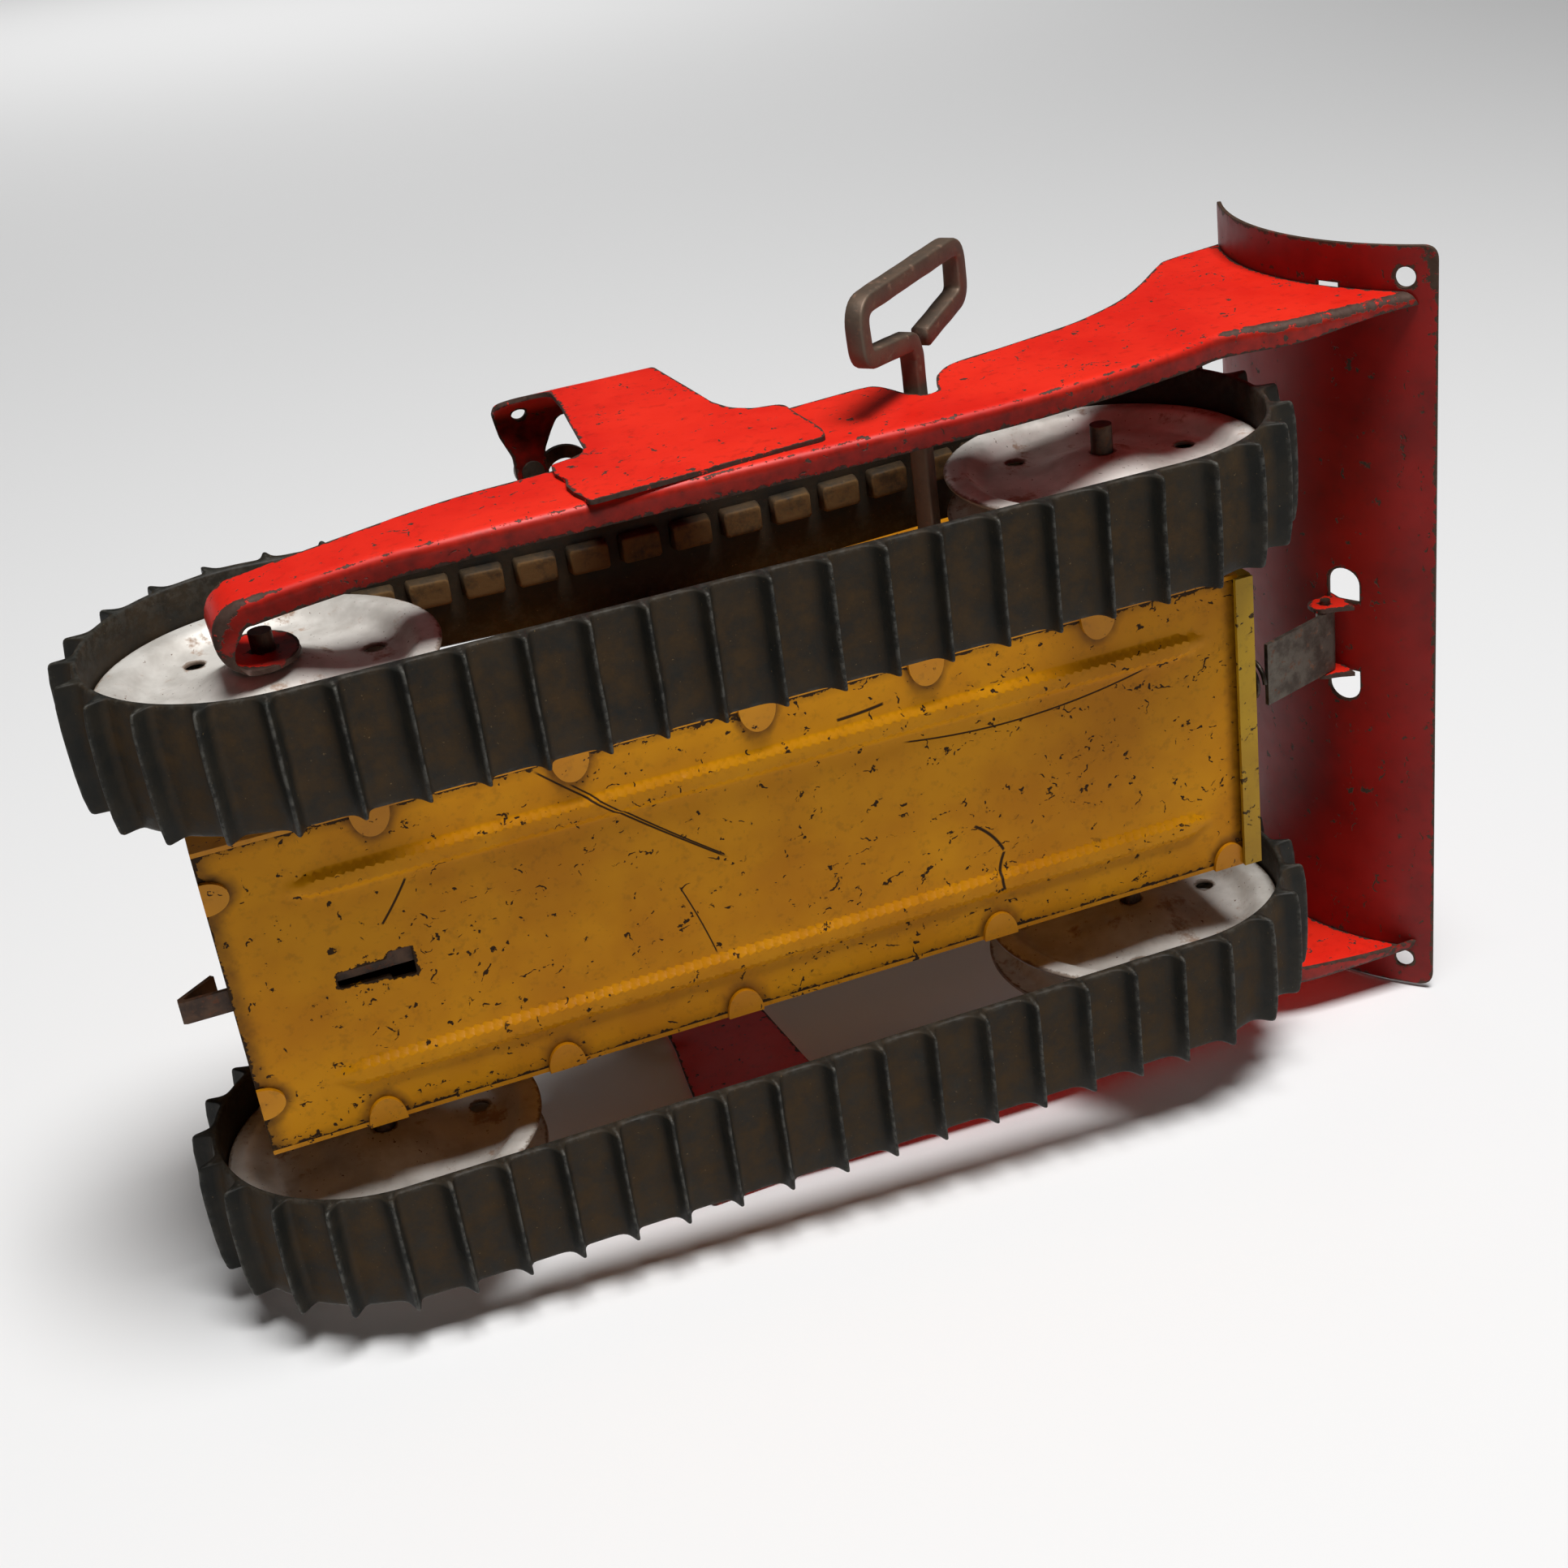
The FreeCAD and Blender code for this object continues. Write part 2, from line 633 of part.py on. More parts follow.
gear("axle_pinion", FRONT_AXLE, axle_teeth, bearing(FRONT_AXLE, MIDDLE) + 180.0 / axle_teeth,
     3.0, 5.6, dim("axle_radius") + press_gap)
gear("governor_pinion", GOVERNOR, governor_teeth,
     to_governor + 180.0 + (slip + 0.5) * 360.0 / governor_teeth,
     3.0, 5.6, dim("governor_arbor_radius") + press_gap)


def motor_plate(label, y):
    """Sheet side plate of the motor with bores for every arbor."""
    outline = [(30.0, gauge), (109.0, gauge), (109.0, 50.0), (94.0, 71.0), (58.0, 71.0),
               (30.0, 52.0)]
    holes = [(KEY, dim("arbor_radius")), (MIDDLE, dim("small_arbor_radius")),
             (GOVERNOR, dim("governor_arbor_radius")), (FRONT_AXLE, dim("axle_radius"))]
    body = doc.addObject("PartDesign::Body", label + "_body")
    circles = [flat_circle(centre[0], centre[1], radius + running_gap)
               for centre, radius in holes]
    sketch = sketch_on(body, "XZ_Plane", label + "_outline", flat_lines(outline) + circles)
    pad(body, sketch, "Sizes.sheet_gauge")
    body.Placement = Placement(Vector(0, y, 0), Rotation())
    return keep(body, label)


motor_plate("right_motor_plate", dim("motor_right") + gauge)
motor_plate("left_motor_plate", dim("motor_left"))

motor_inside = "Sizes.motor_left - Sizes.motor_right - 2 * Sizes.sheet_gauge"
PILLARS = ((33.0, 5.5), (33.0, 48.0), (105.0, 46.0), (105.0, 5.5))
pillars = [rod("pillar_%d" % count, "Sizes.pillar_radius", motor_inside,
               Vector(x, dim("motor_right") + gauge, z))
           for count, (x, z) in enumerate(PILLARS, start=1)]
keep(group("pillar_set", pillars), "motor_pillars")

keep(rod("middle_arbor_rod", "Sizes.small_arbor_radius",
         "Sizes.motor_left - Sizes.motor_right + 1",
         Vector(MIDDLE[0], dim("motor_right") - 0.5, MIDDLE[1])), "middle_arbor")
keep(rod("governor_arbor_rod", "Sizes.governor_arbor_radius",
         "Sizes.motor_left - Sizes.motor_right + 1",
         Vector(GOVERNOR[0], dim("motor_right") - 0.5, GOVERNOR[1])), "governor_arbor")
keep(tube("governor_weight", "Sizes.governor_radius", "Sizes.governor_arbor_radius + 0.02",
          "Sizes.governor_gauge", Vector(GOVERNOR[0], 7.0, GOVERNOR[1])), "governor_disc")


def mainspring():
    """Flat steel ribbon wound in a spiral round the winding arbor."""
    inner, outer, turns, ribbon = 4.2, 19.0, 7.0, 0.6
    steps = 12 * int(turns)

    def spiral(offset):
        points = []
        for index in range(steps + 1):
            share = index / steps
            angle = 2 * math.pi * turns * share
            radius = inner + (outer - inner) * share + offset
            points.append(Vector(KEY[0] + radius * math.cos(angle), -21.5,
                                 KEY[1] + radius * math.sin(angle)))
        curve = Part.BSplineCurve()
        curve.interpolate(points)
        return curve.toShape(), points[0], points[-1]

    inside, in_start, in_end = spiral(0.0)
    outside, out_start, out_end = spiral(ribbon)
    wire = Part.Wire([inside, Part.LineSegment(in_end, out_end).toShape(), outside,
                      Part.LineSegment(out_start, in_start).toShape()])
    return feature("mainspring", Part.Face(wire).extrude(Vector(0, 17.5, 0)))


mainspring()


def saw_ratchet():
    """Ratchet wheel with slanted teeth, fixed to the winding arbor."""
    count, root, tip = 12, 6.2, 8.0
    points = []
    for index in range(count):
        start = 2 * math.pi * index / count
        for radius, angle in ((root, start), (tip, start + 0.02)):
            points.append(Vector(KEY[0] + radius * math.cos(angle), -2.6,
                                 KEY[1] + radius * math.sin(angle)))
    wheel = Part.Face(Part.Wire(lines(points))).extrude(Vector(0, 1.4, 0))
    bore = round_bar(dim("arbor_radius") + press_gap, (KEY[0], -4, KEY[1]), (KEY[0], 1, KEY[1]))
    return feature("ratchet_wheel", wheel.cut(bore))


saw_ratchet()

CLICK_PIVOT = (KEY[0] - 9.0, KEY[1] + 9.5)


def click_and_stud():
    """Pawl on the great wheel, its nose just clear of the ratchet's tips, and its stud."""
    x, z = CLICK_PIVOT
    outline = [(x - 2.2, z - 1.4), (x - 0.4, z - 2.4), (x + 2.6, z - 2.2), (x + 4.6, z - 1.8),
               (x + 8.2, z - 0.9), (x + 8.4, z + 0.1), (x + 4.0, z + 1.4), (x, z + 2.3),
               (x - 2.2, z + 1.2)]
    pawl = side_prism(outline, -2.3, -1.1)
    pawl = pawl.cut(round_bar(0.8 + running_gap, (x, -5, z), (x, 5, z)))
    feature("ratchet_click", pawl)
    stud = round_bar(0.8, (x, -2.7, z), (x, -0.6, z))
    stud = stud.fuse(round_bar(1.6, (x, -3.2, z), (x, -2.7, z)))
    feature("click_stud", stud.removeSplitter())


click_and_stud()


def winding_arbor():
    """Arbor with a square socket that holds the key's shank."""
    half = dim("key_wire") / 2
    body = round_bar(dim("arbor_radius"), (KEY[0], -33.0, KEY[1]), (KEY[0], 13.5, KEY[1]))
    socket = block((-half, -34.0, -half), (half, -26.0, half))
    socket.rotate(Vector(0, 0, 0), Vector(0, 1, 0), -dim("key_tilt"))
    socket.translate(Vector(KEY[0], 0, KEY[1]))
    return feature("winding_arbor", body.cut(socket))


winding_arbor()


def winding_key():
    """Key bent from one square wire: shank, sloping shoulder and open rounded bow."""
    wire = dim("key_wire")
    path = [(0.0, -26.0), (0.0, -93.0), (-22.3, -96.9), (-22.3, -108.0), (23.8, -108.0),
            (23.8, -96.9), (4.6, -93.6)]
    corner = 4.5
    points = [Vector(u, y, 0) for u, y in path]
    edges = []
    last = points[0]
    for before, here, after in zip(points[:-2], points[1:-1], points[2:]):
        back = (before - here).normalize()
        ahead = (after - here).normalize()
        half_turn = (math.pi - back.getAngle(ahead)) / 2
        radius = corner if half_turn < 0.75 else 2.6
        reach = radius * math.tan(half_turn)
        start, end = here + back * reach, here + ahead * reach
        centre_line = (back + ahead).normalize()
        depth = radius / math.cos(half_turn) - radius
        edges.append(Part.LineSegment(last, start).toShape())
        edges.append(Part.Arc(start, here + centre_line * depth, end).toShape())
        last = end
    edges.append(Part.LineSegment(last, points[-1]).toShape())
    half = wire / 2
    section = Part.Wire(lines([Vector(u, path[0][1], w) for u, w in
                               ((-half, -half), (half, -half), (half, half), (-half, half))]))
    bent = Part.Wire(edges).makePipeShell([section], True, True, 2)
    bent.rotate(Vector(0, 0, 0), Vector(0, 1, 0), -dim("key_tilt"))
    bent.translate(Vector(KEY[0], 0, KEY[1]))
    return feature("winding_key", bent)


winding_key()


# ---------------------------------------------------------------- stop lever
def stop_lever():
    """Flat strip along the plate that leaves the rear wall and folds into a finger."""
    thick = dim("lever_gauge")
    low = 1.4
    outline = [(-72.0, low), (-72.0, low + thick), (-121.2, low + thick),
               (-121.6, low + thick + 0.6), (-114.9, 8.4), (-115.6, 9.2),
               (-122.8, low + thick + 0.8), (-122.8, low + 0.4), (-122.0, low)]
    body = doc.addObject("PartDesign::Body", "stop_lever_body")
    sketch = sketch_on(body, "XZ_Plane", "lever_side", flat_lines(outline))
    pad(body, sketch, "Sizes.lever_width")
    body.Placement = Placement(Vector(0, 1.0, 0), Rotation())
    return keep(body, "stop_lever")


stop_lever()


# ---------------------------------------------------------------- blade and frame
def blade_point(angle, radius):
    """Point on the blade's arc in the XZ plane, at an angle in degrees."""
    return (dim("blade_centre_x") + radius * math.cos(math.radians(angle)),
            dim("blade_centre_z") + radius * math.sin(math.radians(angle)))


def blade_angle(z):
    """Angle of the blade's rear face at a height."""
    return 180.0 - math.degrees(math.asin((z - dim("blade_centre_z")) / dim("blade_radius")))


def arc_band(outer, inner, first, last, y_low, y_high):
    """Solid band of an arc about the blade's centre."""
    middle = (first + last) / 2
    outside = [Vector(x, y_low, z) for x, z in
               (blade_point(a, outer) for a in (first, middle, last))]
    inside = [Vector(x, y_low, z) for x, z in
              (blade_point(a, inner) for a in (last, middle, first))]
    edges = [Part.Arc(*outside).toShape(), Part.LineSegment(outside[2], inside[0]).toShape(),
             Part.Arc(*inside).toShape(), Part.LineSegment(inside[2], outside[0]).toShape()]
    return Part.Face(Part.Wire(edges)).extrude(Vector(0, y_high - y_low, 0))


BLADE_TOP, BLADE_EDGE = 80.7, 9.3


def bulldozer_blade():
    """Curved mouldboard with four rounded corners, two D openings and two pin ears."""
    radius, half = dim("blade_radius"), dim("blade_half_width")
    corner, hole = dim("blade_corner"), dim("blade_hole_radius")
    blade = arc_band(radius, radius - gauge, blade_angle(BLADE_TOP), blade_angle(BLADE_EDGE),
                     -half, half)
    centre = Vector(dim("blade_centre_x"), 0, dim("blade_centre_z"))
    for z_corner, inward in ((BLADE_TOP, 1), (BLADE_EDGE, -1)):
        step = inward * math.degrees(corner / radius)
        angle = blade_angle(z_corner) + step
        ahead = Vector(math.cos(math.radians(angle)), 0, math.sin(math.radians(angle)))
        for side in (-1, 1):
            seat = centre + Vector(0, side * (half - corner), 0)
            keep_round = Part.makeCylinder(corner, radius + 5, seat, ahead)
            square = arc_band(radius + 1, radius - gauge - 1, angle,
                              blade_angle(z_corner) - 2 * step,
                              min(side * (half - corner), side * (half + 1)),
                              max(side * (half - corner), side * (half + 1)))
            blade = blade.cut(square.cut(keep_round))
    hole_angle = blade_angle(14.2)
    ahead = Vector(math.cos(math.radians(hole_angle)), 0, math.sin(math.radians(hole_angle)))
    for side in (-1, 1):
        blade = blade.cut(Part.makeCylinder(hole, radius + 5, centre + Vector(0, side * 87, 0),
                                            ahead))
    ear = dim("ear_inner")
    lobe, cut_half, cut_reach = 3.6, 3.75, 4.2
    pin = (dim("pin_x"), dim("pin_z"))
    for side in (-1, 1):
        straight = sorted((side * (ear + gauge), side * (ear + gauge + cut_reach)))
        window = block((140, straight[0], pin[1] - 0.6 - cut_half),
                       (165, straight[1], pin[1] - 0.6 + cut_half))
        round_end = side * (ear + gauge + cut_reach)
        window = window.fuse(round_bar(cut_half, (140, round_end, pin[1] - 0.6),
                                       (165, round_end, pin[1] - 0.6)))
        blade = blade.cut(window)
        flat = sorted((side * ear, side * (ear + gauge)))
        plate = round_bar(lobe, (pin[0], flat[0], pin[1]), (pin[0], flat[1], pin[1]))
        neck = block((pin[0], flat[0], pin[1] - lobe), (pin[0] + 6, flat[1], pin[1] + lobe))
        behind = arc_band(radius - gauge / 2, radius - 30, 120.0, 240.0, flat[0], flat[1])
        blade = blade.fuse(plate.fuse(neck).cut(behind))
    blade = blade.cut(round_bar(dim("pin_radius") + press_gap, (pin[0], -20, pin[1]),
                                (pin[0], 20, pin[1])))
    return feature("blade", blade.removeSplitter())


bulldozer_blade()

keep(rod("link_pin_rod", "Sizes.pin_radius", "2 * Sizes.ear_inner + 4",
         Vector(dim("pin_x"), -dim("ear_inner") - 2, dim("pin_z"))), "link_pin")


def arm_upper_edge():
    """Upper edge of the arm's web from the rear bend to the blade."""
    return [(-104.0, 24.2), (-67.0, 23.9), (-38.0, 26.2), (-25.0, 27.3), (28.0, 31.9),
            (45.0, 33.4), (48.8, 30.0), (50.6, 23.6), (54.0, 20.3), (57.0, 21.6),
            (60.8, 30.7), (67.0, 36.2), (97.0, 43.4), (115.0, 52.4), (135.0, 71.4),
            (139.0, 74.4), (156.0, 77.5)]


def arm_lower_edge():
    """Bend line between the web and the lower flange, from the rear bend to the blade."""
    return [(-104.0, 10.2), (-67.0, 7.2), (-38.0, 4.0), (48.0, 3.6), (83.0, 5.9),
            (108.0, 10.3), (119.0, 15.1), (130.0, 13.5), (139.0, 10.6), (170.0, 11.9)]


def arm_plan(offset):
    """Plan curve of the arm's sheet: straight, drawn in at the rear, U-bend, foot."""
    outer = arm_face - offset
    foot_y = dim("foot_face") - 1.0 + offset
    drawn_in = outer - 4.9          # the web's outer face where the U-bend starts
    middle = (drawn_in + foot_y) / 2
    radius = (drawn_in - foot_y) / 2
    turn_x = rear_x - 1.5
    return outer, foot_y, middle, radius, turn_x


def arm_ribbon():
    """The arm's sheet as a tall ribbon that follows its plan curve."""
    z_low, z_high = -5.0, 90.0

    def edge_run(offset):
        outer, foot_y, middle, radius, turn_x = arm_plan(offset)
        start = Vector(170.0, outer, z_low)
        easing = Vector(-38.0, outer, z_low)
        pull = Vector(-62.0, outer - 1.2, z_low)
        top = Vector(turn_x, middle + radius, z_low)
        back = Vector(turn_x - radius, middle, z_low)
        foot = Vector(turn_x, foot_y, z_low)
        tip = Vector(rear_x + 7.5, foot_y, z_low)
        return [Part.LineSegment(start, easing).toShape(),
                Part.Arc(easing, pull, top).toShape(),
                Part.Arc(top, back, foot).toShape(),
                Part.LineSegment(foot, tip).toShape()], start, tip

    outside, out_start, out_tip = edge_run(0.0)
    inside, in_start, in_tip = edge_run(gauge)
    ends = [Part.LineSegment(out_start, in_start).toShape(),
            Part.LineSegment(out_tip, in_tip).toShape()]
    wire = Part.Wire(Part.__sortEdges__(outside + inside + ends))
    return Part.Face(wire).extrude(Vector(0, 0, z_high - z_low))


def push_arm():
    """Left push arm: web, lower flange, U-bend and round-ended pivot foot."""
    ribbon = arm_ribbon()
    upper, lower = arm_upper_edge(), arm_lower_edge()
    profile = side_prism(upper + lower[::-1], 68.0, 90.0)
    back_face = arc_band(dim("blade_radius") + 0.15, 1.0, 100.0, 260.0, 50.0, 95.0)
    web = ribbon.common(profile).cut(back_face)
    foot = ribbon.common(block((-110, 60, axle_z - 10.3), (rear_x, 71.0, axle_z + 10.3)))
    tongue = ribbon.common(round_bar(10.3, (rear_x - 2.8, 60, axle_z),
                                     (rear_x - 2.8, 66.5, axle_z)))
    bend = ribbon.common(block((-110, 68.0, axle_z - 10.3), (-97.5, 76.0, axle_z + 5.0)))
    flange_strip = [(x, z + 0.02) for x, z in lower] + [(x, z + gauge) for x, z in lower[::-1]]
    reach = dim("flange_width")
    plan = [(150.0, arm_face - 0.05), (-38.0, arm_face - 0.05), (-62.0, arm_face - 1.3),
            (-78.0, arm_face - 3.1), (-78.0, arm_face - 2.0 - reach), (-62.0, arm_face - reach),
            (-38.0, arm_face - reach), (150.0, arm_face - reach)]
    flange = side_prism(flange_strip, 60.0, 90.0).common(plan_prism(plan, -5.0, 60.0))
    flange = flange.cut(back_face)
    arm = web.multiFuse([foot, tongue, bend, flange])
    bore = round_bar(dim("axle_radius") + running_gap, (rear_x, 60, axle_z),
                     (rear_x, 72, axle_z))
    return arm.cut(bore).removeSplitter()


left_arm = push_arm()
feature("left_push_arm", left_arm)
feature("right_push_arm", mirrored(left_arm))


BEND_Z = 77.2                   # where the bracket's web starts to turn inwards
TIE_RIVET, TIE_RIVET_RADIUS = (-18.2, 65.5), 1.5
TAB_HOLE, TAB_HOLE_RADIUS = (-19.2, 79.9), 1.6


def lift_bracket():
    """Left bracket: web lapped on the arm, wide shoulder bend and pierced inward tab."""
    face = arm_face + gauge
    bend = dim("bend_radius")
    axis_y = face - bend
    web = block((-30, arm_face, -1), (30, face, BEND_Z))
    ring = Part.makeCylinder(bend, 60, Vector(-30, axis_y, BEND_Z), Vector(1, 0, 0))
    ring = ring.cut(Part.makeCylinder(bend - gauge, 60, Vector(-30, axis_y, BEND_Z),
                                      Vector(1, 0, 0)))
    ring = ring.common(block((-30, axis_y, BEND_Z), (30, face, BEND_Z + bend)))
    top = block((-30, 50, BEND_Z + bend - gauge), (30, axis_y, BEND_Z + bend))
    outline = [(-12.2, 77.2), (-14.0, 56.5), (-16.3, 33.4), (-20.0, 29.8), (-24.7, 28.2),
               (-25.4, 23.3), (-24.8, 15.7), (-25.7, 9.4), (-23.7, 2.6), (16.4, 6.3),
               (26.7, 7.1), (27.5, 17.3), (26.7, 33.2), (20.4, 34.3), (16.7, 38.2),
               (14.8, 44.6), (11.9, 77.4), (9.0, 86.0), (-25.2, 86.0), (-24.4, 82.0)]
    plan = [(-25.2, 90.0), (-24.6, 81.0), (-24.3, 74.9), (-22.2, 69.6), (-22.0, 62.0),
            (-14.5, 62.0), (-14.8, 69.5), (-13.0, 73.5), (-10.6, 77.3), (9.0, 77.3),
            (9.0, 80.0), (30.0, 80.0), (30.0, 90.0)]
    bracket = web.multiFuse([ring, top]).common(side_prism(outline, 40.0, 95.0))
    bracket = bracket.common(plan_prism(plan, -10.0, 95.0))
    hole = round_bar(TAB_HOLE_RADIUS, (*TAB_HOLE, 80), (*TAB_HOLE, 95))
    rivet = round_bar(TIE_RIVET_RADIUS + press_gap, (*TIE_RIVET, 60), (*TIE_RIVET, 95))
    return bracket.cut(hole).cut(rivet).removeSplitter()


left_bracket = lift_bracket()
feature("left_lift_bracket", left_bracket)
feature("right_lift_bracket", mirrored(left_bracket))

TIE_LOW = BEND_Z + dim("bend_radius")
TIE_GAUGE, TIE_HALF = 1.5, 4.5
TIE_RING = (-10.7, 62.3)        # centre of the large ring beside each tab


def tie_bar():
    """Flat bar over the hood between the two bracket tabs, with a large ring at each end."""
    strip_end = 58.0
    bar = block((-16.0, -strip_end, TIE_LOW), (-16.0 + 2 * TIE_HALF, strip_end, TIE_LOW + TIE_GAUGE))

    def upright(radius, centre, side, room):
        """Upright cylinder through the bar at a place given for the left side."""
        x, y = centre
        return round_bar(radius, (x, side * y, TIE_LOW - room), (x, side * y, TIE_LOW + TIE_GAUGE + room))

    for side in (-1, 1):
        bar = bar.fuse(upright(7.3, TIE_RING, side, 0.0)).fuse(upright(4.0, TIE_RIVET, side, 0.0))
    for side in (-1, 1):
        bar = bar.cut(upright(4.4, TIE_RING, side, 1.0))
        bar = bar.cut(upright(TIE_RIVET_RADIUS + press_gap, TIE_RIVET, side, 1.0))
    return feature("tie_bar", bar.removeSplitter())


tie_bar()


def tie_rivets():
    """Rivets that hold the tie bar on the bracket tabs."""
    head_radius, head_height = 2.6, 0.8
    low, high = TIE_LOW - gauge, TIE_LOW + TIE_GAUGE
    rivets = []
    for side in (-1, 1):
        x, y = TIE_RIVET[0], side * TIE_RIVET[1]
        shank = round_bar(TIE_RIVET_RADIUS, (x, y, low), (x, y, high))
        head = round_bar(head_radius, (x, y, high), (x, y, high + head_height))
        foot = round_bar(head_radius, (x, y, low - head_height), (x, y, low))
        rivets.append(shank.fuse(head).fuse(foot).removeSplitter())
    return feature("tie_bar_rivets", Part.makeCompound(rivets))


tie_rivets()


# ---------------------------------------------------------------- centre link
LINK_REAR = (129.0, 19.3)


def centre_link():
    """Flat stay with an eye rolled round the blade's pin."""
    pin = (dim("pin_x"), dim("pin_z"))
    half = dim("ear_inner") - 0.3
    eye = 2.2
    fall = bearing(LINK_REAR, pin)
    normal = (-math.sin(math.radians(fall)), math.cos(math.radians(fall)))
    low = -eye
    high = low + gauge
    outline = [(LINK_REAR[0] + normal[0] * low, LINK_REAR[1] + normal[1] * low),
               (pin[0] + normal[0] * low, pin[1] + normal[1] * low),
               (pin[0] + normal[0] * high, pin[1] + normal[1] * high),
               (LINK_REAR[0] + normal[0] * high, LINK_REAR[1] + normal[1] * high)]
    plate = side_prism(outline, -half, half)
    knuckle = round_bar(eye, (pin[0], -half, pin[1]), (pin[0], half, pin[1]))
    bore = round_bar(dim("pin_radius") + running_gap, (pin[0], -20, pin[1]), (pin[0], 20, pin[1]))
    return feature("centre_link", plate.fuse(knuckle).cut(bore).removeSplitter())


centre_link()


def link_spring():
    """Helical spring on the grille, its axis along X."""
    coil, wire = dim("spring_coil"), dim("spring_wire")
    start_x, length, turns = half_plate + 3.2, 10.6, 6.0
    helix = Part.makeHelix(length / turns, length, coil)
    section = Part.Wire(Part.makeCircle(wire, Vector(coil, 0, 0), Vector(0, 1, 0)))
    spring = Part.Wire(helix.Edges).makePipeShell([section], True, True)
    spring.rotate(Vector(0, 0, 0), Vector(0, 1, 0), 90)
    spring.translate(Vector(start_x, 0, 18.0))
    return feature("link_spring", spring)


link_spring()


def spring_rivet():
    """Headed rivet through the grille that carries the link spring."""
    x = half_plate + 2.5
    shank = round_bar(1.25, (x - 3.0, 0, 18.0), (x + 9.0, 0, 18.0))
    head = round_bar(3.0, (x - 3.0, 0, 18.0), (x - 1.05, 0, 18.0))
    return feature("spring_rivet", shank.fuse(head).removeSplitter())


spring_rivet()

# ---------------------------------------------------------------- checks and export
doc.recompute()
for item in doc.Objects:
    if "Invalid" in item.State or "Error" in item.State:
        raise RuntimeError("object failed: %s %s" % (item.Name, item.State))
for item in sub_parts:
    if item.Shape.isNull() or not item.Shape.isValid():
        raise RuntimeError("sub-part has no valid shape: %s" % item.Label)

os.makedirs("parts", exist_ok=True)
for item in sub_parts:
    item.Shape.exportStep("parts/%s.step" % item.Label)
    print("%-24s solids %d  volume %9.1f" % (item.Label, len(item.Shape.Solids),
                                            item.Shape.Volume))
print(len(sub_parts), "sub-parts")
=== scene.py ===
"""Clockwork toy crawler bulldozer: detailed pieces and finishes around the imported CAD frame.

Lengths inside the helpers are millimetres in the CAD frame; meshes are written in metres.
"""
import json
import math
import random

import bpy
import numpy as np
from mathutils import Matrix, Vector, geometry, noise

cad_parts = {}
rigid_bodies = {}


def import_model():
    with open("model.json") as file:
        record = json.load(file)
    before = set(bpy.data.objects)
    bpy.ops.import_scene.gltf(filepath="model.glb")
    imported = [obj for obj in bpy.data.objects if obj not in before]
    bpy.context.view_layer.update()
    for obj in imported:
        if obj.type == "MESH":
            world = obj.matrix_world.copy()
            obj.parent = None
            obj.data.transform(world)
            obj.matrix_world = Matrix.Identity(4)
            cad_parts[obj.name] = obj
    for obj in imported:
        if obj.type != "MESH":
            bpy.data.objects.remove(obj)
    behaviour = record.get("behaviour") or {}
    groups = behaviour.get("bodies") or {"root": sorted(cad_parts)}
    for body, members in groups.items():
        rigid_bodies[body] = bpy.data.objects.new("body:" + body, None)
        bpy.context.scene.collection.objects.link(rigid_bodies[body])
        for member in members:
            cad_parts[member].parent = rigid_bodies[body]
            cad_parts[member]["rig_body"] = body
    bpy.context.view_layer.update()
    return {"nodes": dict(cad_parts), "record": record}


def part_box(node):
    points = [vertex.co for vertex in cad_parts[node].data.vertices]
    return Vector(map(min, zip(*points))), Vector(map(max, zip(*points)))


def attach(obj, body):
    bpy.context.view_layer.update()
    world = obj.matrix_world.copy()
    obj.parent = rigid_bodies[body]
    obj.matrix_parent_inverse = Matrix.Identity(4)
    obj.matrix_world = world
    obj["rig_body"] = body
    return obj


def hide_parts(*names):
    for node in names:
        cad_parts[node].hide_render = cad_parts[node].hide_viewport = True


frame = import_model()
MM = 0.001
NODES = frame["nodes"]


def box_mm(node):
    """Lowest and highest corner of a CAD node, in millimetres."""
    low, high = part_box(node)
    return low / MM, high / MM


def centre_mm(node):
    """Middle of a CAD node's box, in millimetres."""
    low, high = box_mm(node)
    return (low + high) / 2


def placed(name, data):
    """New object in the scene."""
    item = bpy.data.objects.new(name, data)
    bpy.context.scene.collection.objects.link(item)
    return item


# ---- camera
CAMERA_SPOT = (-108.67, -229.83, -399.51)
CAMERA_TURN = (0.4526, -0.3071, -0.2038)
FOCAL_LENGTH, SENSOR_WIDTH = 51.66, 36.0


def make_camera():
    """Camera below the right-hand side, looking up at the base plate and the right arm."""
    turn = Vector(CAMERA_TURN)
    to_camera = Matrix.Rotation(turn.length, 3, turn.normalized())
    data = bpy.data.cameras.new("camera")
    data.sensor_width = SENSOR_WIDTH
    data.lens = FOCAL_LENGTH
    data.clip_start, data.clip_end = 0.01, 20.0
    camera = placed("camera", data)
    axes = Matrix((to_camera[0], -to_camera[1], -to_camera[2])).transposed()
    camera.matrix_world = Matrix.Translation(Vector(CAMERA_SPOT) * MM) @ axes.to_4x4()
    bpy.context.scene.camera = camera


make_camera()


# ---- node materials
def srgb(red, green, blue):
    """Linear colour of an 8-bit sRGB triple."""
    def linear(value):
        value /= 255.0
        return value / 12.92 if value <= 0.04045 else ((value + 0.055) / 1.055) ** 2.4
    return (linear(red), linear(green), linear(blue), 1.0)


